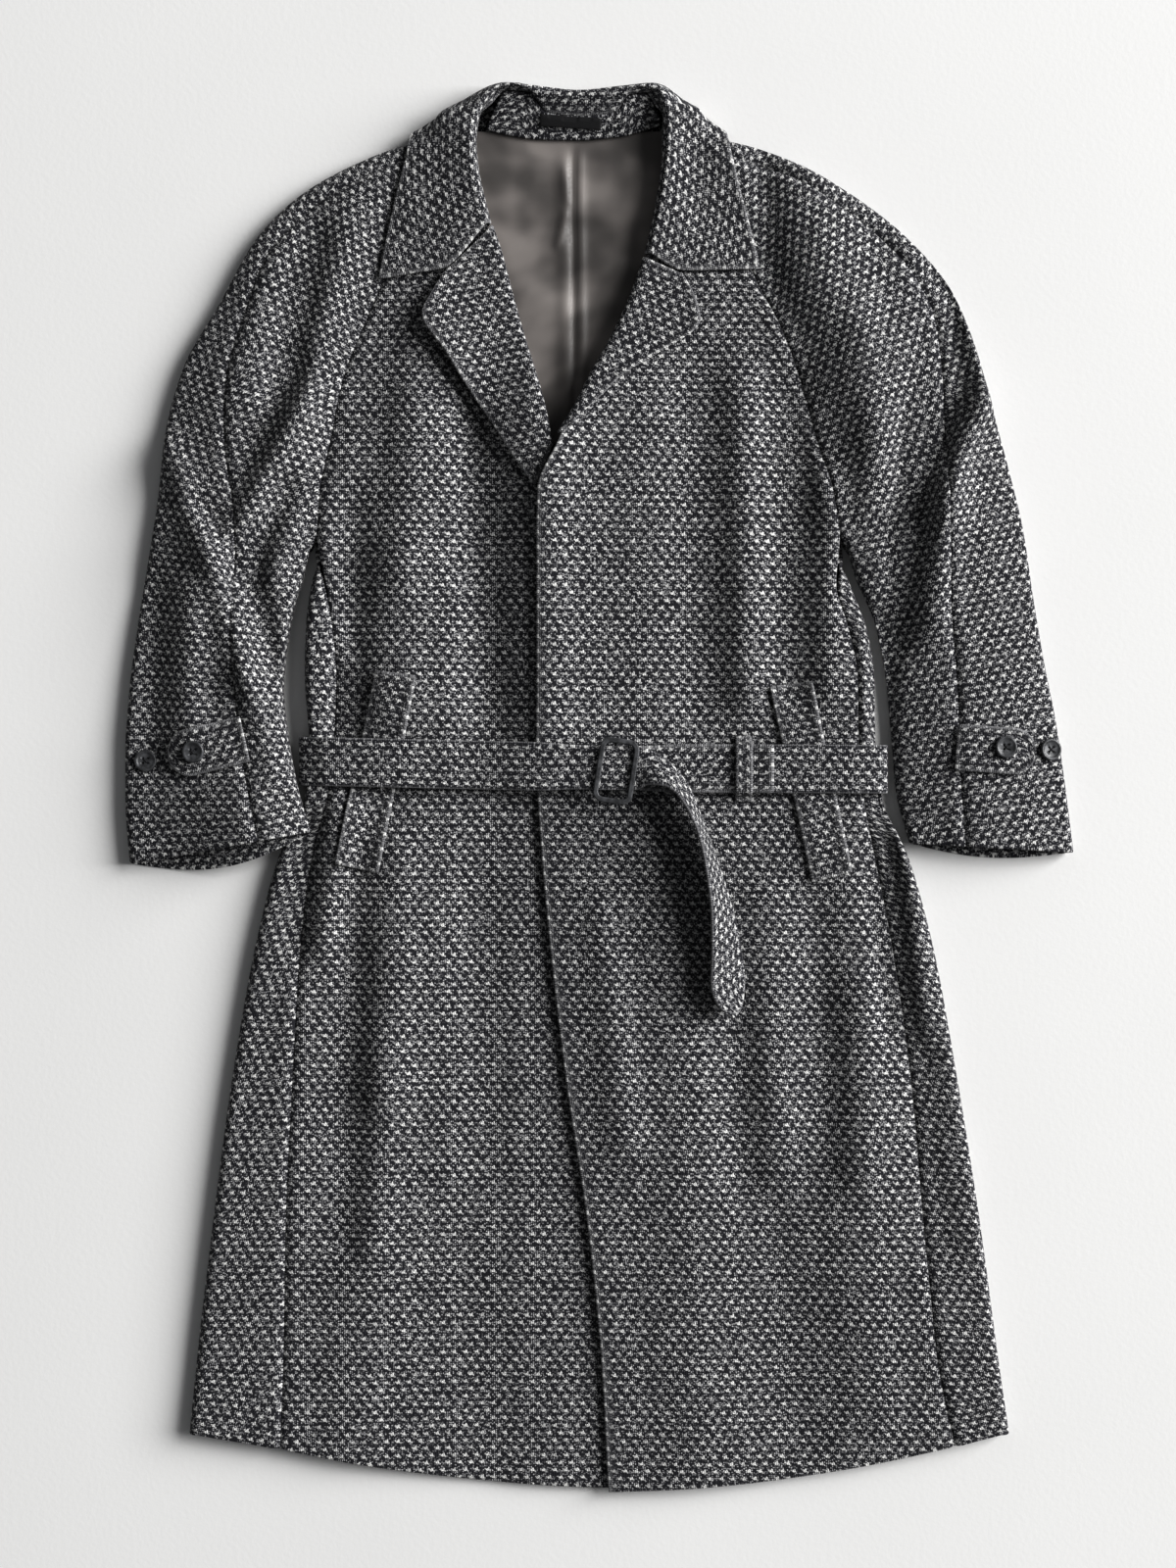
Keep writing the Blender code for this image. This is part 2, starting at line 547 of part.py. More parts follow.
def cloth(name, grid, wall=CLOTH, colour=TWEED, roughness=TWEED_ROUGHNESS):
    """A closed piece of cloth: the grid is its right side, and its wall goes inward from there."""
    rows, columns, _ = grid.shape
    inside = grid - wall * grid_normals(grid)
    points = np.concatenate([grid.reshape(-1, 3), inside.reshape(-1, 3)])
    under = rows * columns

    def at(row, column):
        return row * columns + column

    faces = []
    for row in range(rows - 1):
        for column in range(columns - 1):
            corners = [
                at(row, column),
                at(row, column + 1),
                at(row + 1, column + 1),
                at(row + 1, column),
            ]
            faces.append(corners)
            faces.append([corner + under for corner in reversed(corners)])
    border = [at(0, column) for column in range(columns)]
    border += [at(row, columns - 1) for row in range(1, rows)]
    border += [at(rows - 1, column) for column in range(columns - 2, -1, -1)]
    border += [at(row, 0) for row in range(rows - 2, 0, -1)]
    for start, end in zip(border, border[1:] + border[:1]):
        faces.append([end, start, start + under, end + under])
    return mesh_object(name, points, faces, colour, roughness)


def surface_of(grid):
    """The right side of a piece, to lay others on."""
    rows, columns, _ = grid.shape
    faces = []
    for row in range(rows - 1):
        for column in range(columns - 1):
            first = row * columns + column
            faces.append([first, first + 1, first + columns + 1, first + columns])
    return BVHTree.FromPolygons([Vector(point) for point in grid.reshape(-1, 3)], faces)


def height_on(surfaces, x, y, otherwise=None):
    """Height of the highest of these surfaces at a place in the plan, or next to it over a seam."""
    found = []
    for aside_x, aside_y in ((0, 0), (PROBE, 0), (-PROBE, 0), (0, PROBE), (0, -PROBE)):
        for surface in surfaces:
            above = Vector((x + aside_x, y + aside_y, SKY_Z))
            place = surface.ray_cast(above, Vector((0.0, 0.0, -1.0)))[0]
            if place is not None:
                found.append(place.z)
    return max(found) if found else otherwise


def half_turn(low, high, count):
    """Offsets and heights of a fold from its lower layer round to its upper one."""
    angle = np.linspace(-math.pi / 2, math.pi / 2, count)
    radius = (high - low) / 2
    return radius * (1 - np.cos(angle)), (high + low) / 2 + radius * np.sin(angle), radius


def back_half(row, side, strip, turn):
    """The seam strip and the fold of the back at one side, from the seam to the lower layer."""
    sign = -1 if side == "right" else 1
    seam_x, seam_y = getattr(row, side + "_seam_x"), getattr(row, side + "_seam_y")
    fold_x, fold_y = getattr(row, side + "_fold_x"), getattr(row, side + "_fold_y")
    low = float(back_rise(fold_x - sign * FOLD_PROBE, fold_y))
    offset, height, radius = half_turn(low, FOLD_HEIGHT, turn)
    wrapped = []
    for part in np.linspace(0.0, 1.0, strip, endpoint=False):
        x = (seam_x + sign * SEAM_GAP) * (1 - part) + (fold_x - sign * radius) * part
        wrapped.append((x, seam_y * (1 - part) + fold_y * part, FOLD_HEIGHT))
    for off, z in zip(offset[::-1], height[::-1]):
        wrapped.append((fold_x - sign * off, fold_y, z))
    wrapped = np.array(wrapped)
    raised = fold_height(wrapped[:, 0], wrapped[:, 1])
    wrapped[:, 2] += raised * smoothstep(radius, FOLD_HEIGHT, wrapped[:, 2])
    flat = np.empty_like(wrapped)
    margin = np.linspace(0.0, SEAM_MARGIN, strip + turn)
    flat[:, 0] = fold_x - sign * (SEAM_GAP + margin)
    flat[:, 1] = fold_y
    flat[:, 2] = back_rise(flat[:, 0], flat[:, 1])
    return wrapped * row.wrap + flat * (1 - row.wrap)


def back_grid(levels, strip, turn, flat):
    """The back, from the right seam round the fold, under the coat and round to the left seam."""
    rows = rows_at(BACK_ROWS, levels)
    grid = []
    for row in rows:
        right = back_half(row, "right", strip, turn)
        left = back_half(row, "left", strip, turn)[::-1]
        across = np.linspace(0.0, 1.0, flat + 2)[1:-1]
        x = right[-1, 0] * (1 - across) + left[0, 0] * across
        side_y = row.right_fold_y * (1 - across) + row.left_fold_y * across
        y = side_y + (row.middle_y - side_y) * (1 - np.abs(2 * across - 1) ** HEM_ROUNDNESS)
        lower = np.stack([x, y, back_rise(x, y)], axis=1)
        grid.append(np.concatenate([right, lower, left]))
    return np.array(grid)[:, ::-1]


def front_grid(table, levels, columns):
    """A front, from its side to its edge. The left front is turned round so that it faces up too."""
    rows = rows_at(table, levels)
    t = np.linspace(0.0, 1.0, columns)
    grid = []
    for row in rows:
        side = np.array([row.side_x, row.side_y])
        edge = np.array([row.edge_x, row.edge_y])
        width = np.linalg.norm(edge - side)
        way = (edge - side) / width
        start = side + way * SEAM_GAP
        end = edge - way * ROLL_INSET * row.roll
        plan = start[None] * (1 - t[:, None]) + end[None] * t[:, None]
        plan[:, 1] -= row.sag * bulge(t)
        z = row.side_z * (1 - t) * (1 - 2 * t) + row.middle_z * bulge(t) + row.edge_z * t * (2 * t - 1)
        z = z + fold_height(plan[:, 0], plan[:, 1])
        grid.append(np.column_stack([plan, z]))
    grid = np.array(grid)
    return grid if grid[0, 0, 0] < grid[0, -1, 0] else grid[:, ::-1]


def sleeve_frame(row):
    """The inner side of a section, the way across it and its width."""
    inner = np.array([row.inner_x, row.inner_y])
    outer = np.array([row.outer_x, row.outer_y])
    width = np.linalg.norm(outer - inner)
    return inner, (outer - inner) / width, width


def sleeve_points(row, across, height, upper):
    """Points of one section, from distances across it and heights over the lower layer's level."""
    inner, way, width = sleeve_frame(row)
    plan = inner[None] + across[:, None] * way[None]
    down = np.array([way[1], -way[0]])
    down = down if down[1] < 0 else -down
    lower = 1 - smoothstep(BOW_FROM, FOLD_HEIGHT, height)
    past = row.bow * np.sin(math.pi * np.clip(across / width, 0, 1)) * lower
    plan = plan + past[:, None] * down[None]
    lifted = row.lift * (1 - smoothstep(LIFT_FROM, LIFT_TO, across / width))
    folds = fold_height(plan[:, 0], plan[:, 1]) * upper
    return np.column_stack([plan, height + lifted + folds])


def crown_height(row, across, width, radius):
    """Height of a sleeve's upper side, which is crowned between its folds."""
    t = np.clip((across - radius) / (width - 2 * radius), 0.0, 1.0)
    return FOLD_HEIGHT + row.crown * bulge(t)


def sleeve_front_grid(table, levels, turn, columns):
    """The upper piece of a sleeve, from the inner side to the seam on top."""
    grid = []
    for row in rows_at(table, levels):
        inner, way, width = sleeve_frame(row)
        low = float(collar_rise(*(inner + way * FOLD_PROBE)))
        offset, height, radius = half_turn(low, FOLD_HEIGHT, turn)
        margin = np.linspace(SEAM_GAP, radius, turn)
        turned = offset * row.closed + margin * (1 - row.closed)
        raised = height * row.closed + FOLD_HEIGHT * (1 - row.closed)
        end = max(width - row.seam - SEAM_GAP, radius + LEAST_TOP)
        top = np.linspace(radius, end, columns + 1)[1:]
        across = np.concatenate([turned, top])
        z = np.concatenate([raised, crown_height(row, top, width, radius)])
        upper = smoothstep(0.5 * FOLD_HEIGHT, FOLD_HEIGHT, z)
        grid.append(sleeve_points(row, across, z, upper))
    return np.array(grid)


def sleeve_back_grid(table, levels, columns, turn, flat):
    """The under piece of a sleeve, from the seam on top round the outer fold and back underneath."""
    grid = []
    for row in rows_at(table, levels):
        inner, way, width = sleeve_frame(row)
        low = float(collar_rise(*(inner + way * (width - FOLD_PROBE))))
        offset, height, radius = half_turn(low, FOLD_HEIGHT, turn)
        start = max(width - row.seam, radius + LEAST_TOP) + SEAM_GAP
        top = np.linspace(start, width - radius, columns, endpoint=False)
        end = row.closed * (radius + UNDER_CLEARANCE) + SEAM_GAP
        beneath = np.linspace(width - radius, end, flat + 1)[1:]
        under_plan = inner[None] + beneath[:, None] * way[None]
        under = collar_rise(under_plan[:, 0], under_plan[:, 1])
        across = np.concatenate([top, (width - offset)[::-1], beneath])
        z = np.concatenate([crown_height(row, top, width, radius), height[::-1], under])
        upper = smoothstep(0.5 * FOLD_HEIGHT, FOLD_HEIGHT, z)
        grid.append(sleeve_points(row, across, z, upper))
    return np.array(grid)


def facing_up(grid):
    """The grid turned, if need be, so that its normals point up where it is highest."""
    normal = grid_normals(grid)
    middle = np.unravel_index(np.argmax(grid[:, :, 2]), grid.shape[:2])
    return grid if normal[middle][2] > 0 else grid[:, ::-1]


def lapel_grid(table, levels, turn, columns, front):
    """A facing: from its leg under the front, round the roll, to its free edge on the front."""
    rows = rows_between(table, levels, ("edge_x", "edge_y"))
    grid = []
    for row in rows:
        roll = np.array([row.roll_x, row.roll_y])
        edge = np.array([row.edge_x, row.edge_y])
        width = np.linalg.norm(edge - roll)
        way = (edge - roll) / width

        def on_front(across):
            place = roll + way * max(across, ROLL_PROBE)
            return height_on([front], place[0], place[1], FOLD_HEIGHT)

        near = [on_front(far) for far in LAPEL_PROBES]
        top_z = max(near) + 2 * LAY_GAP + CLOTH
        low_z = min(near) - 2 * CLOTH - 2 * LAY_GAP
        offset, height, radius = half_turn(low_z, top_z, turn)
        leg = np.array([FACING_LEG, (FACING_LEG + radius) / 2])
        leg_z = [on_front(far) - 2 * CLOTH - 2 * LAY_GAP for far in leg]
        top = np.linspace(radius, max(width, radius + LAPEL_LEAST), columns + 1)[1:]
        top_heights = []
        for far in top:
            share = (far - radius) / (top[-1] - radius)
            top_heights.append(on_front(far) + 2 * LAY_GAP + CLOTH + row.lift * share**LAPEL_CURL)
        across = np.concatenate([leg, offset, top])
        z = np.concatenate([leg_z, height, top_heights])
        plan = roll[None] + across[:, None] * way[None]
        grid.append(np.column_stack([plan, z]))
    return facing_up(np.array(grid))


def collar_controls(row, below):
    """Seven points of a collar section, from its turned-in side over the roll to its free edge."""
    roll = np.array([row.roll_x, row.roll_y])
    bend = np.array([row.bend_x, row.bend_y])
    edge = np.array([row.edge_x, row.edge_y])
    out = (edge - roll) / np.linalg.norm(edge - roll)
    away = (bend - roll) / np.linalg.norm(bend - roll)

    def laid(place, stated):
        if stated or row.turn >= 0.5:
            return stated
        return height_on(below, place[0], place[1], FOLD_HEIGHT) + LAY_GAP + CLOTH + COLLAR_CLEARANCE

    def point(place, z):
        return np.array([place[0], place[1], z])

    def rolled(points, way):
        made = []
        for each in points:
            z = COLLAR_LEG_Z * (1 - each.share) + row.roll_z * each.share + each.over
            made.append(point(roll + way * each.out, z))
        return made

    on_front = rolled(ROLL_ON_FRONT, out)
    at_back = rolled(ROLL_AT_BACK, away)
    made = [a * (1 - row.turn) + b * row.turn for a, b in zip(on_front, at_back)]
    bend_z, edge_z = laid(bend, row.bend_z), laid(edge, row.edge_z)
    middle = (bend + edge) / 2
    along_front = point(middle, (bend_z + edge_z) / 2)
    on_floor = point(bend + (edge - bend) * FLOOR_BEND, 0.0)
    made.append(point(bend, bend_z))
    made.append(along_front * (1 - row.turn) + on_floor * row.turn)
    made.append(point(edge, edge_z))
    return np.array(made)


def collar_grid(levels, columns, below):
    """The collar, round the neck and across from its turned-in side to its free edge."""
    net = np.array([collar_controls(row, below) for row in COLLAR_ROWS])
    stations = np.arange(len(net), dtype=float)
    at = np.linspace(0.0, stations[-1], levels)
    sections = curve_through(stations, net.reshape(len(net), -1), at).reshape(levels, -1, 3)
    grid = []
    for section in sections:
        knots = np.arange(len(section), dtype=float)
        made = curve_through(knots, section, np.linspace(0.0, knots[-1], columns))
        for point in made[columns // 2 :]:
            under = height_on(below, point[0], point[1])
            if under is not None and point[2] > FOLD_HEIGHT:
                point[2] = max(point[2], under + 2 * LAY_GAP + CLOTH)
        grid.append(made)
    return facing_up(np.array(grid))


def stand_grid(levels, columns, below):
    """The collar stand, from the neck seam up to the turned-in side of the collar."""
    net = np.array([collar_controls(row, below) for row in COLLAR_ROWS])
    stations = np.arange(len(net), dtype=float)
    rows = rows_between(STAND_ROWS, levels, ("foot_x", "foot_y"))
    grid = []
    for row in rows:
        place = np.array([row.collar_row])
        top = curve_through(stations, net[:, 0], place)[0]
        foot = np.array([row.foot_x, row.foot_y, STAND_FOOT_Z])
        slope = (top - foot) / np.linalg.norm(top - foot)
        top = top - slope * 3 * SEAM_GAP
        t = np.linspace(0.0, 1.0, columns)[:, None]
        grid.append(foot[None] * (1 - t) + top[None] * t)
    return facing_up(np.array(grid))


def lining_grid(levels, columns):
    """The lining that shows in the neck, with its centre pleat."""
    rows = rows_between(LINING_ROWS, levels, ("y",))
    grid = []
    for row in rows:
        x = np.linspace(row.right_x, row.left_x, columns)
        y = np.full(columns, row.y)
        z = back_rise(x, y) + CLOTH + LAY_GAP + SATIN + LINING_LOFT
        under_stand = 1 - smoothstep(LINING_FLAT_LOW, LINING_FLAT_HIGH, y)
        z = z + fold_height(x, y, (LINING_PLEAT,)) * under_stand - LINING_LOFT * (1 - under_stand)
        grid.append(np.column_stack([x, y, z]))
    return facing_up(np.array(grid))


def laid_grid(plan, below, wall, gap=LAY_GAP):
    """A piece that lies on others: its plan, a gap and its wall over them."""
    rows, columns, _ = plan.shape
    grid = np.zeros((rows, columns, 3))
    for row in range(rows):
        for column in range(columns):
            x, y = plan[row, column]
            grid[row, column] = (x, y, height_on(below, x, y, FOLD_HEIGHT) + gap + wall)
    return facing_up(grid)


def welt_plan(welt, levels, columns):
    """A grid in the plan between four corners."""
    s = np.linspace(0.0, 1.0, levels)[:, None, None]
    t = np.linspace(0.0, 1.0, columns)[None, :, None]
    top = np.array(welt.top_side) * (1 - t) + np.array(welt.top_front) * t
    low = np.array(welt.low_side) * (1 - t) + np.array(welt.low_front) * t
    return top * (1 - s) + low * s


def tab_plan(tab, levels, columns):
    """A strap with a round end, from the seam outward."""
    way = np.array([math.cos(tab.angle), math.sin(tab.angle)])
    aside = np.array([-way[1], way[0]])
    root = np.array([tab.root_x, tab.root_y])
    radius = TAB_WIDTH / 2
    straight = np.linspace(0.0, TAB_LENGTH - radius, levels - levels // 2)
    angle = np.linspace(0.0, TAB_END, levels // 2 + 1)[1:]
    far = np.concatenate([straight, straight[-1] + radius * np.sin(angle)])
    half = np.concatenate([np.full(len(straight), radius), radius * np.cos(angle)])
    across = np.linspace(-1.0, 1.0, columns)
    return root + far[:, None, None] * way + (half[:, None] * across[None])[:, :, None] * aside


def label_corners():
    """The four corners of the label, named as a welt's are."""
    x, y = LABEL_CENTRE
    half_x, half_y = LABEL_SIZE[0] / 2, LABEL_SIZE[1] / 2
    return Welt(
        (x - half_x, y + half_y + LABEL_TILT),
        (x + half_x, y + half_y - LABEL_TILT),
        (x + half_x, y - half_y - LABEL_TILT),
        (x - half_x, y - half_y + LABEL_TILT),
    )


def belt_heights(xs, below):
    """Heights of the belt's middle over the fronts, smoothed as a stiff strip bridges what it lies on."""
    raw = []
    for x in xs:
        level = float(belt_y(x))
        tops = [height_on(below, x, level + off, FOLD_HEIGHT) for off in BELT_PROBES]
        raw.append(max(tops))
    raw = np.array(raw)
    reach = BELT_SMOOTHING // 2
    high = np.array([raw[max(0, i - reach) : i + reach + 1].max() for i in range(len(raw))])
    padded = np.pad(high, reach, mode="edge")
    smooth = np.convolve(padded, np.full(BELT_SMOOTHING, 1 / BELT_SMOOTHING), mode="valid")
    return np.maximum(smooth, raw) + LAY_GAP + BELT_WALL / 2


def belt_pair(x, z, width=BELT_WIDTH):
    """The two edge points of the belt at a place across the coat, skewed with the buckle near its bar."""
    level = float(belt_y(x))
    skewed = 1 - smoothstep(*SKEW_FROM_BAR, abs(x - BELT_BAR_X))
    skew = math.tan(-BUCKLE_TURN) * width / 2 * float(skewed)
    return (x - skew, level - width / 2, z), (x + skew, level + width / 2, z)


def belt_turn(fold_x, way, angles):
    """The belt round a side fold of the coat: the left one where way is 1, the right where it is -1."""
    top_z = FOLD_HEIGHT + BELT_LAYER_GAP + BELT_WALL / 2
    radius = (top_z - BELT_WALL / 2) / 2
    reach = radius - (FOLD_HEIGHT - BELT_RISE) / 2
    made = []
    for angle in angles:
        x = fold_x + way * (reach - radius + radius * math.cos(angle))
        made.append(belt_pair(x, BELT_WALL / 2 + radius + radius * math.sin(angle)))
    return made


def sewn_end(below):
    """The belt from its sewn-back end to the bar, round the bar, and on to the left side of the coat."""
    xs = np.linspace(BELT_BAR_X + SEWN_LEVEL_FROM_BAR.start, BELT_LEFT_TOP_X, 25)
    bar_drop = BELT_WALL / 2 + CENTRE_BAR / 2 + BAR_CLEARANCE
    near_bar = 1 - smoothstep(*SEWN_LEVEL_FROM_BAR, xs - BELT_BAR_X)
    lower = belt_heights(xs, below) * (1 - near_bar) + (CENTRE_BAR_Z - bar_drop) * near_bar
    upper = lower + (BELT_WALL + BELT_LAYER_GAP) * (1 - near_bar) + 2 * bar_drop * near_bar
    widths = BELT_WIDTH_IN_BUCKLE + (BELT_WIDTH - BELT_WIDTH_IN_BUCKLE) * smoothstep(*SEWN_WIDTH, xs)
    stations = []
    for x, z, width in zip(xs, upper, widths):
        if x <= BELT_RETURN_X:
            stations.insert(0, belt_pair(x, z, width))
    for angle in np.linspace(math.pi / 2, -math.pi / 2, 7)[1:-1]:
        x = BELT_BAR_X + 1 - bar_drop * math.cos(angle)
        stations.append(belt_pair(x, CENTRE_BAR_Z + bar_drop * math.sin(angle), BELT_WIDTH_IN_BUCKLE))
    for x, z, width in zip(xs, lower, widths):
        stations.append(belt_pair(x, z, width))
    return stations


def free_end(below):
    """The belt from the right side of the coat over the bar, and its hanging end."""
    xs = np.linspace(BELT_RIGHT_TOP_X, FREE_TOP_END_X, 22)
    over_bar = CENTRE_BAR_Z + BELT_WALL / 2 + CENTRE_BAR / 2 + BAR_CLEARANCE + BELT_WALL + BELT_OVER_GAP
    near_bar = smoothstep(*FREE_LEVEL, xs)
    heights = belt_heights(xs, below) * (1 - near_bar) + over_bar * near_bar
    widths = BELT_WIDTH - (BELT_WIDTH - BELT_WIDTH_IN_BUCKLE) * smoothstep(*FREE_WIDTH, xs)
    stations = [belt_pair(x, z, width) for x, z, width in zip(xs, heights, widths)]
    stations += [belt_pair(x, over_bar, BELT_WIDTH_IN_BUCKLE) for x in OVER_BAR_X]
    for row in rows_between(TAIL_ROWS, 21, ("high_x", "high_y")):
        stations.append(((row.high_x, row.high_y, row.high_z), (row.low_x, row.low_y, row.low_z)))
    return stations


def belt_stations(below):
    """Pairs of edge points along the belt: its sewn-back end, the bar, round the coat, and the free end."""
    stations = sewn_end(below)
    angles = np.linspace(math.pi / 2, -math.pi / 2, 9)
    stations += belt_turn(BELT_LEFT_FOLD_X, 1, angles)
    start, end = BELT_LEFT_FOLD_X - BELT_UNDER_INSET, BELT_RIGHT_FOLD_X + BELT_UNDER_INSET
    stations += [belt_pair(x, BELT_WALL / 2) for x in np.linspace(start, end, 9)]
    stations += belt_turn(BELT_RIGHT_FOLD_X, -1, angles[::-1])
    stations += free_end(below)
    return np.array(stations, float)


def ribbon(name, stations, wall):
    """A flat strip through pairs of edge points."""
    low, high = stations[:, 0], stations[:, 1]
    along = np.gradient((low + high) / 2, axis=0)
    normal = np.cross(along, high - low)
    normal = normal / np.linalg.norm(normal, axis=1, keepdims=True) * wall / 2
    points = np.stack([low + normal, high + normal, high - normal, low - normal], axis=1)
    count = len(stations)
    faces = [[3, 2, 1, 0]]
    for row in range(count - 1):
        for corner in range(4):
            following = (corner + 1) % 4
            here, there = row * 4, row * 4 + 4
            faces.append([here + corner, here + following, there + following, there + corner])
    last = (count - 1) * 4
    faces.append([last, last + 1, last + 2, last + 3])
    return mesh_object(name, points.reshape(-1, 3), faces, TWEED)


def tube(name, path, across, closed, sides=BAR_SIDES, flat=1.0):
    """A bar of this thickness along a path, round or a little flattened."""
    path = np.array(path, float)
    if closed:
        along = np.roll(path, -1, axis=0) - np.roll(path, 1, axis=0)
    else:
        along = np.gradient(path, axis=0)
    along /= np.linalg.norm(along, axis=1, keepdims=True)
    points = []
    for place, way in zip(path, along):
        side = np.cross(way, (1.0, 0.0, 0.0) if not closed else (0.0, 0.0, 1.0))
        side /= np.linalg.norm(side)
        other = np.cross(way, side)
        for corner in range(sides):
            angle = 2 * math.pi * (corner + 0.5) / sides
            off = math.cos(angle) * side + flat * math.sin(angle) * other
            points.append(place + across / 2 * off)
    count = len(path)
    faces = []
    for row in range(count if closed else count - 1):
        here, there = row * sides, ((row + 1) % count) * sides
        for corner in range(sides):
            following = (corner + 1) % sides
            faces.append([here + corner, here + following, there + following, there + corner])
    if not closed:
        faces.append(list(range(sides))[::-1])
        faces.append([(count - 1) * sides + corner for corner in range(sides)])
    return mesh_object(name, np.array(points), faces, HORN_GREY, HORN_ROUGHNESS)


def outward(made):
    """Turns the faces round if the piece is inside out."""
    mesh = made.data
    volume = 0.0
    mesh.calc_loop_triangles()
    for triangle in mesh.loop_triangles:
        a, b, c = (mesh.vertices[index].co for index in triangle.vertices)
        volume += a.dot(b.cross(c))
    if volume < 0:
        mesh.flip_normals()
    return made


def boolean(made, other, operation):
    """Joins the other piece to this one, or cuts it out."""
    modifier = made.modifiers.new(operation.lower(), "BOOLEAN")
    modifier.operation = operation
    modifier.solver = "EXACT"
    modifier.object = other
    other.hide_render = True
    other.display_type = "WIRE"


def build_buckle():
    """A rounded frame, with a bar across it that hangs low enough for the belt to pass over."""
    half_x = BUCKLE_WIDTH / 2 - BUCKLE_BAR / 2
    half_y = BUCKLE_LENGTH / 2 - BUCKLE_BAR / 2
    path = []
    for sign_x, sign_y, start in ((1, 1, 0), (-1, 1, 90), (-1, -1, 180), (1, -1, 270)):
        for step in np.linspace(0.0, 90.0, 4):
            angle = math.radians(start + step)
            x = sign_x * (half_x - BUCKLE_CORNER) + BUCKLE_CORNER * math.cos(angle)
            y = sign_y * (half_y - BUCKLE_CORNER) + BUCKLE_CORNER * math.sin(angle)
            path.append((x, y, 0.0))
    frame = outward(tube("buckle", path, BUCKLE_BAR, True, flat=BUCKLE_BAR_FLATNESS))
    drop = CENTRE_BAR_Z - BUCKLE_CENTRE[2]
    half = [(half_y - point.inset, drop * point.share + point.over) for point in BAR_POINTS]
    section = half + [(0.0, drop)] + [(-y, z) for y, z in reversed(half)]
    bar = outward(tube("buckle_bar", [(CENTRE_BAR_X, y, z) for y, z in section], CENTRE_BAR, False))
    place = Matrix.Translation(Vector(BUCKLE_CENTRE) * MM) @ Matrix.Rotation(BUCKLE_TURN, 4, "Z")
    for made in (frame, bar):
        made.data.transform(place)
    boolean(frame, bar, "UNION")


def keeper_stations(below):
    """Pairs of edge points over the belt, from one foot of its keeper to the other."""
    level = float(belt_y(KEEPER_X))
    reach = KEEPER_WIDTH / 2
    over = max(height_on(below, KEEPER_X + off, level, FOLD_HEIGHT) for off in (-reach, 0, reach))
    foot = over + LAY_GAP + KEEPER_WALL / 2
    top = foot + 2 * BELT_WALL + KEEPER_ROOM
    half = []
    for point in KEEPER_POINTS:
        z = foot * (1 - point.share) + top * point.share + point.over
        half.append((BELT_WIDTH / 2 + point.past, z))
    section = half + [(0.0, top)] + [(-y, z) for y, z in reversed(half)]
    pairs = [((KEEPER_X - reach, level + y, z), (KEEPER_X + reach, level + y, z)) for y, z in section]
    return np.array(pairs, float)


def build_button(name, place, normal):
    """A turned button with a raised rim and four holes."""
    points = [(0.0, 0.0, 0.0)]
    for point in BUTTON_POINTS:
        far = BUTTON_WIDTH / 2 - point.inset
        for corner in range(BUTTON_SIDES):
            angle = 2 * math.pi * corner / BUTTON_SIDES
            points.append((far * math.cos(angle), far * math.sin(angle), point.up))
    points.append((0.0, 0.0, BUTTON_POINTS[-1].up))
    last = len(points) - 1
    rings = len(BUTTON_POINTS) - 1
    faces = []
    for corner in range(BUTTON_SIDES):
        following = (corner + 1) % BUTTON_SIDES
        faces.append([0, 1 + following, 1 + corner])
        for ring in range(rings):
            here = 1 + ring * BUTTON_SIDES
            there = here + BUTTON_SIDES
            faces.append([here + corner, here + following, there + following, there + corner])
        top = 1 + rings * BUTTON_SIDES
        faces.append([last, top + corner, top + following])
    button = outward(mesh_object(name, points, faces, HORN_GREY, HORN_ROUGHNESS))
    turn = Vector((0.0, 0.0, 1.0)).rotation_difference(Vector(normal)).to_matrix().to_4x4()
    stand = Matrix.Translation((Vector(place) + Vector(normal) * BUTTON_GAP) * MM) @ turn
    button.data.transform(stand)
    for index in range(4):
        angle = math.radians(45 + 90 * index)
        x = BUTTON_HOLE_CIRCLE / 2 * math.cos(angle)
        y = BUTTON_HOLE_CIRCLE / 2 * math.sin(angle)
        path = [(x, y, -BUTTON_HEIGHT), (x, y, 2 * BUTTON_HEIGHT)]
        hole = outward(tube(f"{name}_hole_{index}", path, BUTTON_HOLE, False, HOLE_SIDES))
        hole.data.transform(stand)
        boolean(button, hole, "DIFFERENCE")


def normal_on(surfaces, x, y):
    """The highest point of these surfaces at a place in the plan, and the way the cloth faces there."""
    best = None
    for surface in surfaces:
        place, normal, _, _ = surface.ray_cast(Vector((x, y, SKY_Z)), Vector((0.0, 0.0, -1.0)))
        if place is not None and (best is None or place.z > best[0].z):
            best = (place, normal if normal.z > 0 else -normal)
    return best


def build_body():
    """The back, fronts and sleeves. Returns the grids of each by name."""
    grids = {
        "back": back_grid(BODY_LEVELS, 2, 6, 8),
        "front_right": front_grid(FRONT_RIGHT_ROWS, BODY_LEVELS, 12),
        "front_left": front_grid(FRONT_LEFT_ROWS, BODY_LEVELS, 12),
    }
    for side, table in (("right", SLEEVE_RIGHT_ROWS), ("left", SLEEVE_LEFT_ROWS)):
        levels = np.concatenate([SLEEVE_LEVELS, np.arange(9, len(table))])
        grids[f"sleeve_{side}_front"] = facing_up(sleeve_front_grid(table, levels, 5, 7))
        grids[f"sleeve_{side}_back"] = facing_up(sleeve_back_grid(table, levels, 5, 6, 5))
    for name, grid in grids.items():
        cloth(name, grid)
    return grids


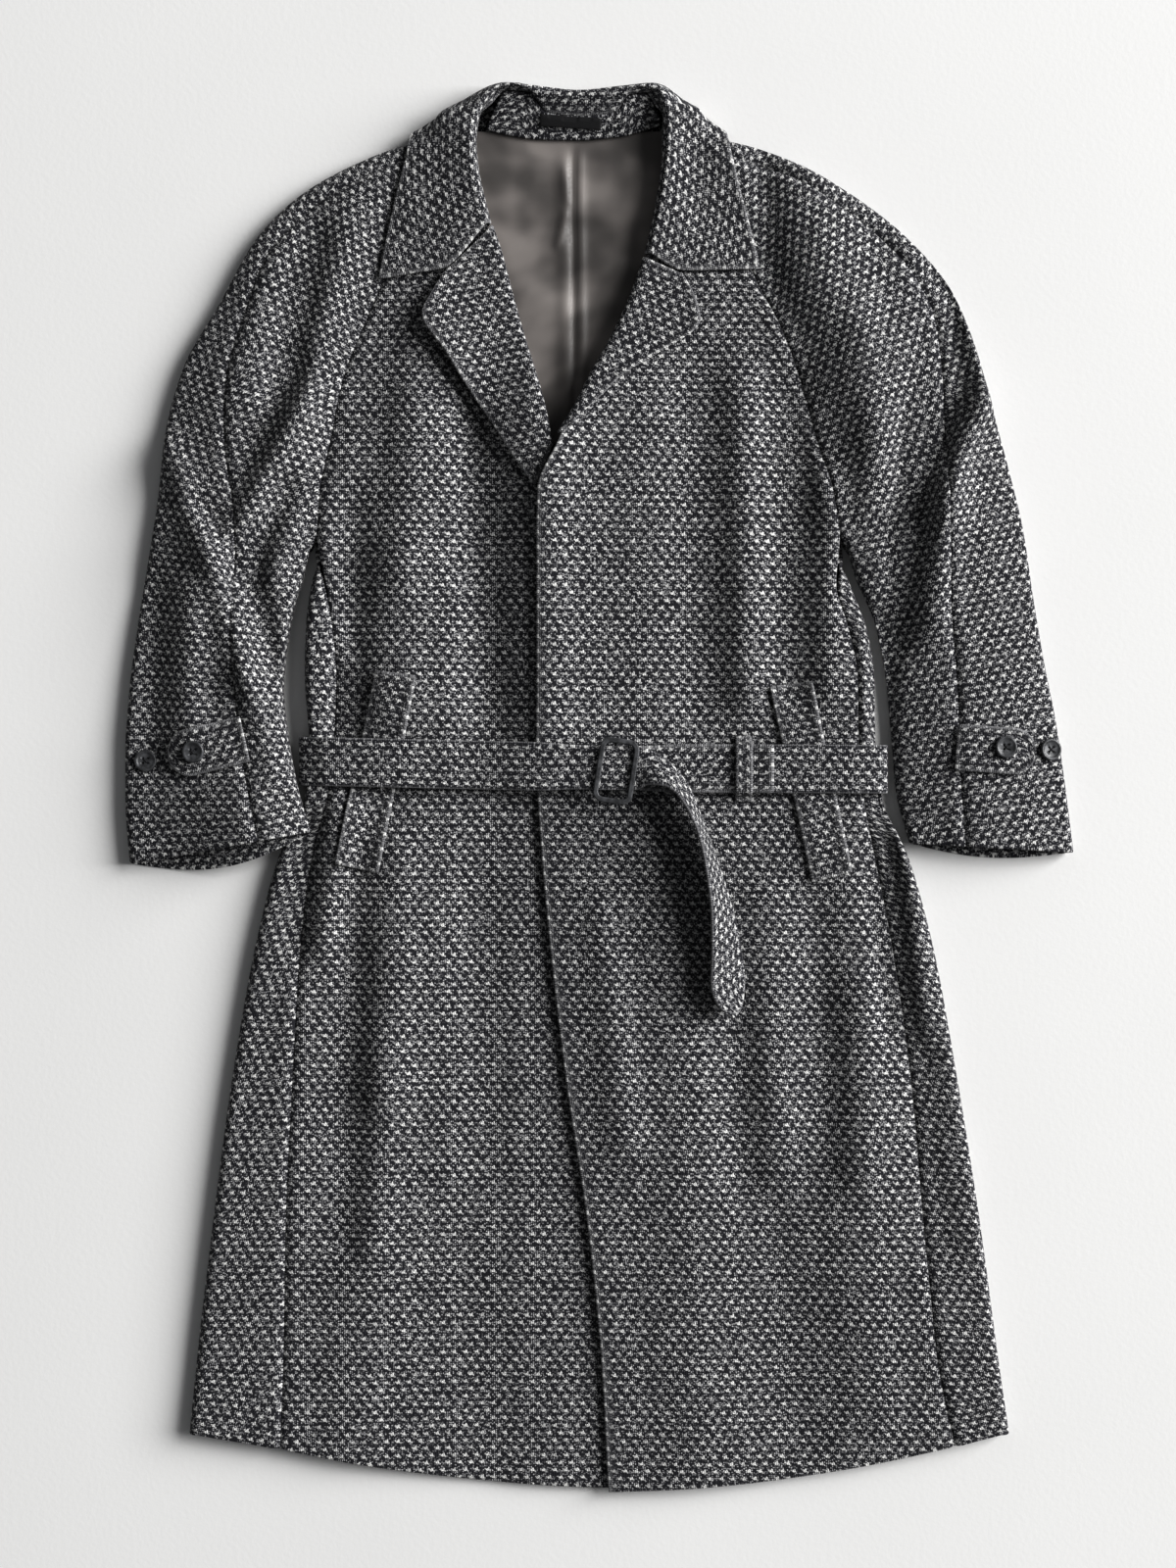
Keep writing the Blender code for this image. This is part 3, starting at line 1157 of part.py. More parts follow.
def build_neck(tops):
    """The lapels, the collar with its stand, the lining and the label."""
    upper = [surface for name, surface in tops.items() if name != "back"]
    cloth("lapel_right", lapel_grid(LAPEL_RIGHT_ROWS, 10, 5, 5, tops["front_right"]))
    cloth("lapel_left", lapel_grid(LAPEL_LEFT_ROWS, 10, 5, 5, tops["front_left"]))
    cloth("collar_fall", collar_grid(33, 13, upper))
    stand = stand_grid(13, 4, upper)
    cloth("collar_stand", stand)
    cloth("lining", lining_grid(12, 13), SATIN, SATIN_GREY, SATIN_ROUGHNESS)
    label = laid_grid(welt_plan(label_corners(), 2, 7), [surface_of(stand)], TAPE, LABEL_GAP)
    cloth("label", label, TAPE, LABEL_BLACK, TAPE_ROUGHNESS)


def build_waist(tops):
    """The pocket welts, and the belt with its keeper and buckle."""
    below = [tops["front_right"], tops["front_left"], tops["back"]]
    for side, welt in (("right", WELT_RIGHT), ("left", WELT_LEFT)):
        grid = laid_grid(welt_plan(welt, 9, 4), [tops[f"front_{side}"]], WELT_WALL, WELT_GAP)
        cloth(f"welt_{side}", grid, WELT_WALL)
        below.append(surface_of(grid))
    outward(ribbon("belt", belt_stations(below), BELT_WALL))
    outward(ribbon("belt_keeper", keeper_stations(below), KEEPER_WALL))
    build_buckle()


def build_cuffs(tops):
    """The sleeve tabs and their buttons."""
    below = [surface for name, surface in tops.items() if name.startswith("sleeve")]
    laid = []
    for side, tab in (("right", TAB_RIGHT), ("left", TAB_LEFT)):
        grid = laid_grid(tab_plan(tab, 10, 5), below, TAB_WALL)
        cloth(f"tab_{side}", grid, TAB_WALL)
        laid.append(surface_of(grid))
    for name, (x, y) in BUTTONS:
        place, normal = normal_on(below + laid, x, y)
        build_button(name, place, normal)


def build():
    for found in list(bpy.data.objects):
        bpy.data.objects.remove(found)
    tops = {name: surface_of(grid) for name, grid in build_body().items()}
    build_neck(tops)
    build_waist(tops)
    build_cuffs(tops)


build()
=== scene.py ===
"""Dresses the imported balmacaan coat: fine cloth over its solids, in flecked tweed, satin, tape and horn.

Sizes are in millimetres until the meshes are made, which are in metres. The plan has x toward the
wearer's left, y toward the collar and z up from the floor, with the origin on the floor under the
middle of the coat. Right and left are the wearer's.
"""

import math
from collections import namedtuple

import bpy
import numpy as np
from bpy.props import FloatProperty, FloatVectorProperty, PointerProperty
from bpy.types import Operator, Panel, PropertyGroup
from mathutils import Matrix, Vector, noise
from mathutils.bvhtree import BVHTree


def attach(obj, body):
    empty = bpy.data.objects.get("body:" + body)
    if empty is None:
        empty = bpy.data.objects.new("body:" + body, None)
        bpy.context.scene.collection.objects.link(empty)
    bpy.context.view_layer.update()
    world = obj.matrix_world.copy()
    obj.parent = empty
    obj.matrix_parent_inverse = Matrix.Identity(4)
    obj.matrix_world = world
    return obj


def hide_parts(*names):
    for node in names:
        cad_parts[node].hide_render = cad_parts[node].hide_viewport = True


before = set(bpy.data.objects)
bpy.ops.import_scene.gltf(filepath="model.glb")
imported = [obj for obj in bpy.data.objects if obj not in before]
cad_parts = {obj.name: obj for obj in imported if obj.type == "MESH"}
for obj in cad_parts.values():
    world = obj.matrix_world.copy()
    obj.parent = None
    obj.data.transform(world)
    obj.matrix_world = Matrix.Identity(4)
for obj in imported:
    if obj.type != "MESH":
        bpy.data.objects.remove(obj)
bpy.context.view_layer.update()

bl_info = {
    "name": "Balmacaan Coat",
    "version": (1, 0, 0),
    "blender": (4, 5, 0),
    "location": "View3D > Sidebar > Coat",
    "description": "Makes a belted tweed coat that lies flat, and the floor and light round it",
    "category": "Add Mesh",
}

MM = 0.001
BODY = "root"

CLOTH = 2.6  # wall of the tweed with its interlining
SATIN = 1.0  # wall of the lining
TAPE = 0.8  # wall of the label
SEAM_GAP = 0.7  # from each piece to the middle of a seam
LAY_GAP = 0.8  # under a piece that lies on another
FOLD_HEIGHT = 16.0  # over the floor, at the side folds and the sleeve folds
PROBE = 2.5  # how far round a place its height is read, wider than a seam
ROLL_INSET = 6.0  # from the roll of the lapel to the front inside it
ROLL_PROBE = 10.8  # least distance from the roll at which the front's height is read
FACING_LEG = 14.0  # width of the facing that turns under at the roll
SEAM_MARGIN = 14.0  # width of the lower layer beside a raglan seam
LEAST_TOP = 3.0  # least width of a sleeve piece past the fold
UNDER_CLEARANCE = 1.5  # from the inner fold of a sleeve to the lower piece
SKY_Z = 500.0  # over all the cloth, where heights are read from
FOLD_PROBE = 8.0  # in from a fold, where the height of its lower layer is read
FOLD_FADE = 0.7  # how fast a ridge fades past its ends
HEM_ROUNDNESS = 1.5  # of the middle of the hem, between its two sides
LIFT_FROM = 0.22  # share of a sleeve's width that the skirt lifts in full
LIFT_TO = 0.85  # and where it is down again
BOW_FROM = 2.0  # height up to which the lower layer passes the upper in full at the cuff
LAPEL_PROBES = (0.0, 13.0, 16.0)  # from the roll, where the height of the front is read
LAPEL_LEAST = 4.0  # least width of a lapel past its roll
LAPEL_CURL = 1.5  # how late the lapel lifts on its way to the edge
COLLAR_CLEARANCE = 1.0  # more than the gap, under the fall of the collar
FLOOR_BEND = 0.12  # share of the fall's width where it comes down to the floor

BELT_WIDTH = 39.0
BELT_WALL = 3.2
BELT_WIDTH_IN_BUCKLE = 35.0
BELT_RISE = BELT_WALL + 0.6  # of the back over the belt under it
COLLAR_RISE = CLOTH + 1.4  # of the back over the collar under it
COLLAR_MIDDLE_X = -18.0
COLLAR_REACH = 150.0  # to each side of its middle, under the back
COLLAR_REACH_END = 190.0
COLLAR_LOW_END = 484.0
COLLAR_LOW = 510.0
BELT_RAMP_START = 14.0  # past the belt's edge, where the back comes down beside it
BELT_RAMP_END = 50.0

BUCKLE_LENGTH = 56.5
BUCKLE_WIDTH = 34.5
BUCKLE_BAR = 4.6
BUCKLE_BAR_FLATNESS = 0.85
BUCKLE_CORNER = 7.0
BUCKLE_CENTRE = (14.5, 15.5, 34.0)
BUCKLE_TURN = math.radians(-9.0)
CENTRE_BAR = 3.0
CENTRE_BAR_X = -3.5  # from the middle of the frame
CENTRE_BAR_Z = 22.6
BAR_CLEARANCE = 0.5

KEEPER_WIDTH = 12.5
KEEPER_WALL = 2.0
KEEPER_X = 125.0
KEEPER_ROOM = 3.8  # for the two layers of the belt to move in it

WELT_WALL = 2.4
TAB_WALL = 2.4
TAB_WIDTH = 38.0
TAB_LENGTH = 68.0
TAB_END = math.radians(78)  # how far its round end is followed to each side
LABEL_GAP = 0.6  # under the label
WELT_GAP = 1.4  # under a welt

BUTTON_WIDTH = 19.0
BUTTON_HEIGHT = 3.6
BUTTON_HOLE = 1.9
BUTTON_HOLE_CIRCLE = 5.2
DRILL_SPARE = 2.0  # how far the drill for a hole goes past the button
BUTTON_GAP = 1.0
BUTTON_SIDES = 48

# Finish of the cloth that the solids leave out.
WRINKLE_DEPTH = 1.1
WRINKLE_LENGTH = 95.0
WRINKLE_STRETCH = 1.7  # how much longer a wrinkle is along the coat
WRINKLE_NOISE = 3.1  # its level in the noise, away from that of the small ones
SMALL_WRINKLE = 0.35  # depth of the small wrinkles, as a share of the others
SMALL_ACROSS = 0.36  # and their length across the coat
SMALL_ALONG = 0.5
SMALL_NOISE = 7.7
SEAM_DEPTH = 1.5
SEAM_WIDTH = 2.2
TURNING_RISE = 0.6
TURNING_WIDTH = 8.0
TURNING_SPREAD = 4.8
FLY_WIDTH = 53.0
FLY_DEPTH = 0.7
FLY_LINE = 1.8  # half the width of the sewn line
FLY_LOW_Y = -440.0
FLY_FADE = 8.0  # how far above and below its low end the line fades
FLY_EDGE_X = -53.0
RIM_STEPS = 4
SMOOTHING = 3
DEEPEST_DIP = 7.5  # of the upper layer, so that it stays off the lower
DIP_EASE = 1.6

# One row for each level of the back, from hem to neck: where it ends at the seam on each side, the
# fold or raglan seam it turns at, the level of its middle, and how far it wraps round the fold.
BackRow = namedtuple(
    "BackRow",
    "right_seam_x right_seam_y right_fold_x right_fold_y "
    "left_fold_x left_fold_y left_seam_x left_seam_y middle_y wrap",
)
BACK_ROWS = (
    BackRow(-277, -571, -356, -559, 356, -559, 309, -569, -598, 1),
    BackRow(-274, -490, -349, -489, 347, -497, 294, -497, -511, 1),
    BackRow(-272, -378, -336, -378, 331, -378, 282, -378, -384, 1),
    BackRow(-266, -251, -319, -251, 311, -251, 271, -251, -253, 1),
    BackRow(-259, -132, -298, -132, 289, -132, 254, -132, -132, 1),
    BackRow(-249, -57, -278, -57, 267, -55, 239, -55, -56, 1),
    BackRow(-236, -9, -256, -9, 246, -9, 230, -9, -9, 1),
    BackRow(-230, 42, -252, 42, 240, 42, 225, 42, 42, 1),
    BackRow(-228, 98, -256, 98, 239, 98, 224, 98, 98, 1),
    BackRow(-231, 140, -255, 140, 232, 140, 216, 140, 140, 1),
    BackRow(-237, 180, -251, 180, 219, 178, 205, 178, 179, 0.9),
    BackRow(-245, 221, -245, 221, 208, 221, 208, 221, 221, 0),
    BackRow(-242, 259, -242, 259, 202, 260, 202, 260, 260, 0),
    BackRow(-232, 306, -232, 306, 189, 303, 189, 303, 304, 0),
    BackRow(-221, 357, -221, 357, 176, 352, 176, 352, 354, 0),
    BackRow(-203, 404, -203, 404, 156, 404, 156, 404, 404, 0),
    BackRow(-187, 442, -187, 442, 134, 446, 134, 446, 444, 0),
    BackRow(-175, 484, -175, 484, 120, 484, 120, 484, 484, 0),
    BackRow(-157, 527, -157, 527, 103, 522, 103, 522, 524, 0),
    BackRow(-128, 560, -128, 560, 78, 560, 78, 560, 566, 0),
)

# One row for each level of a front, from hem to neck: its side at the seam, its front edge or roll,
# the height of the cloth at side, middle and edge, how far the row sags to the hem, and 1 where the
# edge is inside the roll of the lapel.
FrontRow = namedtuple("FrontRow", "side_x side_y edge_x edge_y side_z middle_z edge_z sag roll")
FRONT_RIGHT_ROWS = (
    FrontRow(-277, -571, 88, -606, 15, 9.5, 8, 12, 0),
    FrontRow(-274, -490, 83, -497, 15.5, 9.5, 8, 8, 0),
    FrontRow(-272, -378, 71, -378, 16, 9.5, 8, 4, 0),
    FrontRow(-266, -251, 52, -251, 16, 9.5, 8, 0, 0),
    FrontRow(-259, -132, 38, -132, 16, 9.5, 8, 0, 0),
    FrontRow(-249, -57, 31, -55, 16, 10.5, 9, 0, 0),
    FrontRow(-236, -9, 28, -9, 16, 11.5, 9.5, 0, 0),
    FrontRow(-230, 42, 26, 42, 16, 11.5, 9.5, 0, 0),
    FrontRow(-228, 98, 26, 98, 16, 11, 9, 0, 0),
    FrontRow(-231, 140, 26, 140, 16, 11, 9, 0, 0),
    FrontRow(-237, 180, 20, 180, 16, 11.5, 9, 0, 0),
    FrontRow(-245, 221, -5, 221, 16, 12, 9.5, 0, 0),
    FrontRow(-242, 259, -27, 259, 16, 12.5, 10.5, 0, 0),
    FrontRow(-232, 306, -43, 302, 16, 13.5, 13, 0, 1),
    FrontRow(-221, 357, -54, 357, 16, 15, 15.5, 0, 1),
    FrontRow(-203, 404, -67, 402, 16, 16, 17.5, 0, 1),
    FrontRow(-187, 442, -77, 440, 16, 17, 19, 0, 1),
    FrontRow(-175, 484, -91, 482, 16, 17.5, 19.5, 0, 1),
    FrontRow(-157, 527, -102, 527, 16, 17.5, 19.5, 0, 1),
    FrontRow(-143, 552, -106, 552, 16, 17, 19, 0, 1),
)
FRONT_LEFT_ROWS = (
    FrontRow(309, -569, 9, -609, 15, 13.5, 14, 9, 0),
    FrontRow(294, -497, 3, -497, 15.5, 13.5, 14.5, 6, 0),
    FrontRow(282, -378, -9, -378, 16, 13.5, 15, 3, 0),
    FrontRow(271, -251, -28, -251, 16, 13.5, 15, 0, 0),
    FrontRow(254, -132, -42, -132, 16, 14, 15.5, 0, 0),
    FrontRow(239, -55, -49, -55, 16, 15, 16, 0, 0),
    FrontRow(230, -9, -52, -9, 16, 15.5, 16.5, 0, 0),
    FrontRow(225, 42, -53.5, 42, 16, 15.5, 16.5, 0, 0),
    FrontRow(224, 98, -53, 98, 16, 15.5, 16.5, 0, 0),
    FrontRow(216, 140, -53, 140, 16, 16, 17, 0, 0),
    FrontRow(205, 178, -53, 178, 16, 16.5, 18, 0, 0),
    FrontRow(208, 221, -53, 221, 16, 17, 19.5, 0, 0),
    FrontRow(202, 260, -52, 259, 16, 17.5, 23, 0, 0),
    FrontRow(189, 303, -39, 302, 16, 18, 26, 0, 1),
    FrontRow(176, 352, -11, 355, 16, 18, 26, 0, 1),
    FrontRow(156, 404, 15.5, 404, 16, 18, 24, 0, 1),
    FrontRow(134, 446, 33, 448, 16, 18, 22, 0, 1),
    FrontRow(120, 484, 43, 487, 16, 18, 20.5, 0, 1),
    FrontRow(103, 522, 50, 523, 16, 17.5, 19.5, 0, 1),
    FrontRow(88, 552, 53.5, 552, 16, 17, 19, 0, 1),
)

# One row for each section of a sleeve, from neck to cuff: its inner side, which is the raglan seam
# and then the inner fold, its outer fold, the height of its crown over the folds, the width from the
# outer fold to the seam on top, 1 where the inner side is a closed fold, the height that the inner
# side is lifted by the skirt under it, and how far the lower layer passes the upper at the cuff.
SleeveRow = namedtuple("SleeveRow", "inner_x inner_y outer_x outer_y crown seam closed lift bow")
SLEEVE_RIGHT_ROWS = (
    SleeveRow(-148, 543, -163, 560, 2, 10, 0, 0, 0),
    SleeveRow(-157, 527, -184, 554, 3, 15, 0, 0, 0),
    SleeveRow(-175, 484, -222, 538, 6, 15, 0, 0, 0),
    SleeveRow(-187, 442, -262, 514, 8, 16, 0, 0, 0),
    SleeveRow(-203, 404, -298, 478, 10, 17, 0, 0, 0),
    SleeveRow(-221, 357, -331, 420, 11, 26, 0, 0, 0),
    SleeveRow(-232, 306, -361, 367, 11, 42, 0, 0, 0),
    SleeveRow(-242, 259, -377, 310, 11, 58, 0, 0, 0),
    SleeveRow(-245, 221, -384, 250, 11, 70, 0, 0, 0),
    SleeveRow(-258, 180, -393, 192, 10, 78, 1, 0, 0),
    SleeveRow(-269, 136, -402, 136, 9, 84, 1, 0, 0),
    SleeveRow(-274, 85, -408.5, 85, 8, 94, 1, 0, 0),
    SleeveRow(-269, 42, -412, 34, 8, 102, 1, 2, 0),
    SleeveRow(-261, 4, -412, -8, 8, 110, 1, 13, 0),
    SleeveRow(-255, -17, -410.5, -37, 8, 114, 1, 18, 6),
    SleeveRow(-249, -36, -408, -64, 8, 117, 1, 19, 17),
)
SLEEVE_LEFT_ROWS = (
    SleeveRow(91.5, 545, 108, 563, 2, 10, 0, 0, 0),
    SleeveRow(103, 522, 131, 558, 3, 15, 0, 0, 0),
    SleeveRow(120, 484, 170, 544, 6, 15, 0, 0, 0),
    SleeveRow(134, 446, 212, 521, 8, 16, 0, 0, 0),
    SleeveRow(156, 404, 264, 482, 10, 17, 0, 0, 0),
    SleeveRow(176, 352, 306, 433, 11, 22, 0, 0, 0),
    SleeveRow(189, 303, 326, 386, 11, 34, 0, 0, 0),
    SleeveRow(202, 260, 343, 325, 11, 48, 0, 0, 0),
    SleeveRow(208, 221, 357, 273, 11, 60, 0, 0, 0),
    SleeveRow(224, 180, 368, 227, 10, 68, 1, 0, 0),
    SleeveRow(240, 142, 377, 167, 9, 74, 1, 0, 0),
    SleeveRow(249, 95, 386, 113, 8, 78, 1, 0, 0),
    SleeveRow(253.5, 48, 397, 57, 8, 86, 1, 0, 0),
    SleeveRow(257.5, 0, 405, 2, 8, 92, 1, 0, 3),
    SleeveRow(269, -46, 412, -54, 8, 95, 1, 0, 8.5),
)

# One row for each ridge, or trough where the height is below nought, in the upper layer.
Fold = namedtuple("Fold", "start_x start_y end_x end_y width height")
FOLDS = (
    Fold(-141, 385, -128, 60, 30, 6),
    Fold(-138, -10, -146, -170, 30, 4),
    Fold(-226, 100, -227, 46, 9, -6),
    Fold(252, -60, 271, -220, 18, -6),
    Fold(271, -220, 288, -390, 20, -6),
    Fold(228, 132, 230, 52, 8, 3),
    Fold(-248, 477, -268, 357, 18, -8),
    Fold(-268, 357, -317, 235, 18, -8),
    Fold(-222, 465, -258, 331, 16, 5),
    Fold(-258, 331, -291, 255, 16, 5),
    Fold(-228, 312, -258, 190, 12, -6),
    Fold(-345, 245, -320, 205, 10, -6),
    Fold(-272, 246, -315, 165, 14, -5),
    Fold(309, 421, 322, 350, 16, -8),
    Fold(322, 350, 286, 319, 16, -8),
    Fold(286, 319, 262, 195, 16, -8),
    Fold(245, 467, 255, 408, 18, -5),
    Fold(220, 404, 237, 302, 20, 5),
    Fold(237, 302, 222, 215, 18, 5),
)

# One row for each section of a lapel, from the break to the gorge: the roll, the free edge and how
# far the edge stands off the front.
LapelRow = namedtuple("LapelRow", "roll_x roll_y edge_x edge_y lift")
LAPEL_RIGHT_ROWS = (
    LapelRow(-40, 297, -56, 263, 0),
    LapelRow(-45, 325, -68, 279, 0.5),
    LapelRow(-56, 365, -88, 310, 4),
    LapelRow(-67, 401, -110, 343, 7),
    LapelRow(-77, 438, -131, 377, 9),
    LapelRow(-84, 465, -152, 411, 8),
    LapelRow(-88, 477, -145, 427, 7),
    LapelRow(-91.5, 487, -135, 445, 4),
)
LAPEL_LEFT_ROWS = (
    LapelRow(-36, 308, -25, 314, 0),
    LapelRow(-21, 333, 0, 338, 0.5),
    LapelRow(-8, 360, 20, 358, 1),
    LapelRow(8, 388, 52, 378, 2.5),
    LapelRow(22, 417, 86, 406, 5),
    LapelRow(31, 440, 82, 424, 4),
    LapelRow(37, 459, 72, 444, 2),
)

# One row for each section of the collar, round the neck from the right gorge to the left: its roll,
# the bend of the fall, the free edge, and 0 where the fall lies on the fronts or 1 where it goes under
# the back. A height of 0 on the fronts is the height of the cloth that the collar lies on.
CollarRow = namedtuple(
    "CollarRow", "roll_x roll_y roll_z bend_x bend_y bend_z edge_x edge_y edge_z turn"
)
COLLAR_ROWS = (
    CollarRow(-93.5, 490, 31, -134, 451, 26, -190, 442, 0, 0),
    CollarRow(-99, 512, 34, -140, 490, 28, -183, 478, 0, 0),
    CollarRow(-104, 536, 36, -140, 524, 29, -174, 517, 0, 0),
    CollarRow(-106, 558, 37, -137, 556, 29, -166, 548, 0, 0),
    CollarRow(-103, 583, 34, -136, 582, 26, -163, 569, 13, 0.3),
    CollarRow(-98, 594, 33.5, -129, 592, 15, -158, 571, 1.5, 0.55),
    CollarRow(-92, 603, 33, -119, 597, 12, -135, 545, 0, 0.8),
    CollarRow(-76, 608, 31, -87, 612, 12, -105, 525, 0, 1),
    CollarRow(-49, 603, 29, -50, 608, 12, -60, 518, 0, 1),
    CollarRow(-18, 600, 28, -18, 605, 12, -18, 516, 0, 1),
    CollarRow(17, 603, 29, 18, 609, 12, 25, 518, 0, 1),
    CollarRow(40, 607, 31, 50, 612, 12, 68, 525, 0, 1),
    CollarRow(52, 602, 33, 72, 599, 12, 95, 545, 0, 0.8),
    CollarRow(53.5, 593, 33.5, 79, 594, 15, 104, 573, 1.5, 0.55),
    CollarRow(55, 583, 34, 84, 586, 26, 109, 571, 13, 0.3),
    CollarRow(54, 558, 33, 82, 560, 0, 113, 551, 0, 0),
    CollarRow(52, 530, 31, 86, 524, 0, 121, 516, 0, 0),
    CollarRow(47, 500, 29, 88, 488, 0, 131, 480, 0, 0),
    CollarRow(39, 464, 27, 73, 449, 0, 138, 451, 0, 0),
)
COLLAR_LEG_Z = 11.2  # height of the collar's turned-in side under the fronts

# Where a collar section passes round its roll, from its turned-in side: how far out from the roll, its
# share of the way up to it, and how far over that.
RollPoint = namedtuple("RollPoint", "out share over")
ROLL_ON_FRONT = (
    RollPoint(13, 0, 0),
    RollPoint(5, 0, 0.5),
    RollPoint(0, 0.5, 0),
    RollPoint(5.5, 1, 0),
)
ROLL_AT_BACK = (
    RollPoint(-17, 1, -8.5),
    RollPoint(-9, 1, -4),
    RollPoint(-2, 1, -0.7),
    RollPoint(3, 1, -2.5),
)

# One row for each station of the collar stand: its row in the collar and its foot at the neck seam.
StandRow = namedtuple("StandRow", "collar_row foot_x foot_y")
STAND_ROWS = (
    StandRow(5.9, -97, 573),
    StandRow(7, -77, 568),
    StandRow(8, -50, 564.5),
    StandRow(9, -18, 564),
    StandRow(10, 18, 567),
    StandRow(11, 41, 573),
    StandRow(12.1, 53, 577),
)
STAND_FOOT_Z = 12.4

# One row for each level of the lining in the neck.
LiningRow = namedtuple("LiningRow", "y right_x left_x")
LINING_ROWS = (
    LiningRow(571, -106, 58),
    LiningRow(540, -116, 64),
    LiningRow(500, -112, 60),
    LiningRow(450, -100, 52),
    LiningRow(400, -88, 34),
    LiningRow(350, -74, 10),
    LiningRow(300, -60, -18),
)
LINING_LOFT = 0.8
LINING_WRINKLES = 0.8
LINING_HELD = (545, 562)  # levels between which the stand comes to hold the lining flat

LABEL_CENTRE = (-25.0, 577.0)
LABEL_SIZE = (52.0, 9.0)
LABEL_TILT = 1.6  # how far its ends are off level

# The four corners of a welt, from the upper one next to the side seam.
Welt = namedtuple("Welt", "top_side top_front low_front low_side")
WELT_RIGHT = Welt((-193, 101), (-159, 97), (-192, -72), (-227, -64))
WELT_LEFT = Welt((183, 92), (149, 88), (185, -80), (218, -71))

# A tab: where it leaves the sleeve seam, and the way it points.
Tab = namedtuple("Tab", "root_x root_y angle")
TAB_RIGHT = Tab(-306, 43, math.radians(194))
TAB_LEFT = Tab(309, 36, math.radians(-4))

BUTTONS = (
    ("button_right_inner", (-349, 32)),
    ("button_right_outer", (-393, 24)),
    ("button_left_inner", (350, 36)),
    ("button_left_outer", (390, 34)),
)

# One row for each station of the belt's free end, past the buckle: its two edges.
TailRow = namedtuple("TailRow", "high_x high_y high_z low_x low_y low_z")
TAIL_ROWS = (
    TailRow(31, 0.5, 30, 31, 35.5, 30),
    TailRow(44, 5, 37, 46, 31, 29),
    TailRow(58, 3, 43, 63, 19, 27.5),
    TailRow(72.7, -12, 47, 79, -3, 25.5),
    TailRow(84.6, -37, 49, 91, -33, 21.5),
    TailRow(92.2, -71, 48, 104, -70, 20),
    TailRow(96.5, -106, 45, 114, -103, 20),
    TailRow(97.3, -138, 42, 121, -136, 20),
    TailRow(96.5, -168, 39, 124.5, -168, 20),
    TailRow(103, -186, 36, 122, -187, 24),
    TailRow(112, -196, 31, 117, -196, 28),
)

# Level of the belt's middle across the coat.
BeltLevel = namedtuple("BeltLevel", "x y")
BELT_LEVELS = (BeltLevel(-260, 24), BeltLevel(10, 18), BeltLevel(250, 17))
BELT_BAR_X = 10.0  # where the belt turns round the bar of the buckle
BELT_RETURN_X = 157.0  # where its sewn-back end stops
BELT_LEFT_TOP_X = 231.0
BELT_LEFT_FOLD_X = 247.0
BELT_RIGHT_FOLD_X = -257.5
BELT_RIGHT_TOP_X = -236.0
BELT_UNDER_INSET = 16.0  # from a side fold to the flat run under the coat
BELT_LAYER_GAP = 0.6
BELT_OVER_GAP = 0.8
BELT_PROBES = (-19, -10, 0, 10, 19)  # across the belt, where the height under it is read
BELT_SMOOTHING = 5  # stations that one height is smoothed over

# Where the belt changes on its way to the bar: along x, the start and the end of each change.
Change = namedtuple("Change", "start end")
SKEW_FROM_BAR = Change(5, 45)
SEWN_LEVEL_FROM_BAR = Change(3, 38)
SEWN_WIDTH = Change(30, 75)
FREE_LEVEL = Change(-52, 4)
FREE_WIDTH = Change(-60, -14)
FREE_TOP_END_X = -4.0
OVER_BAR_X = (6, 14, 23)

# Half of the keeper's section, from its foot on the coat to the middle: how far past the belt's edge,
# its share of the way up, and how far over that.
KeeperPoint = namedtuple("KeeperPoint", "past share over")
KEEPER_POINTS = (
    KeeperPoint(8.0, 0, 0),
    KeeperPoint(4.5, 0, 0.6),
    KeeperPoint(2.6, 0.5, 0),
    KeeperPoint(0.2, 1, -0.8),
    KeeperPoint(-4.0, 1, 0),
)

# Half of the centre bar, from its end in the frame down to its level run.
BarPoint = namedtuple("BarPoint", "inset share over")
BAR_POINTS = (BarPoint(0, 0, 0.6), BarPoint(0.6, 0.55, 0), BarPoint(2.0, 1, 0))

# The button's section from its underside round the rim to its sunk middle: in from the rim, and up.
ButtonPoint = namedtuple("ButtonPoint", "inset up")
BUTTON_POINTS = (
    ButtonPoint(2.0, 0),
    ButtonPoint(0.5, 0.6),
    ButtonPoint(0, 1.6),
    ButtonPoint(0, 2.6),
    ButtonPoint(0.3, 3.2),
    ButtonPoint(0.9, BUTTON_HEIGHT),
    ButtonPoint(1.8, BUTTON_HEIGHT - 0.1),
    ButtonPoint(2.6, BUTTON_HEIGHT - 0.6),
    ButtonPoint(3.6, BUTTON_HEIGHT - 1.0),
    ButtonPoint(9.1, BUTTON_HEIGHT - 1.1),
)

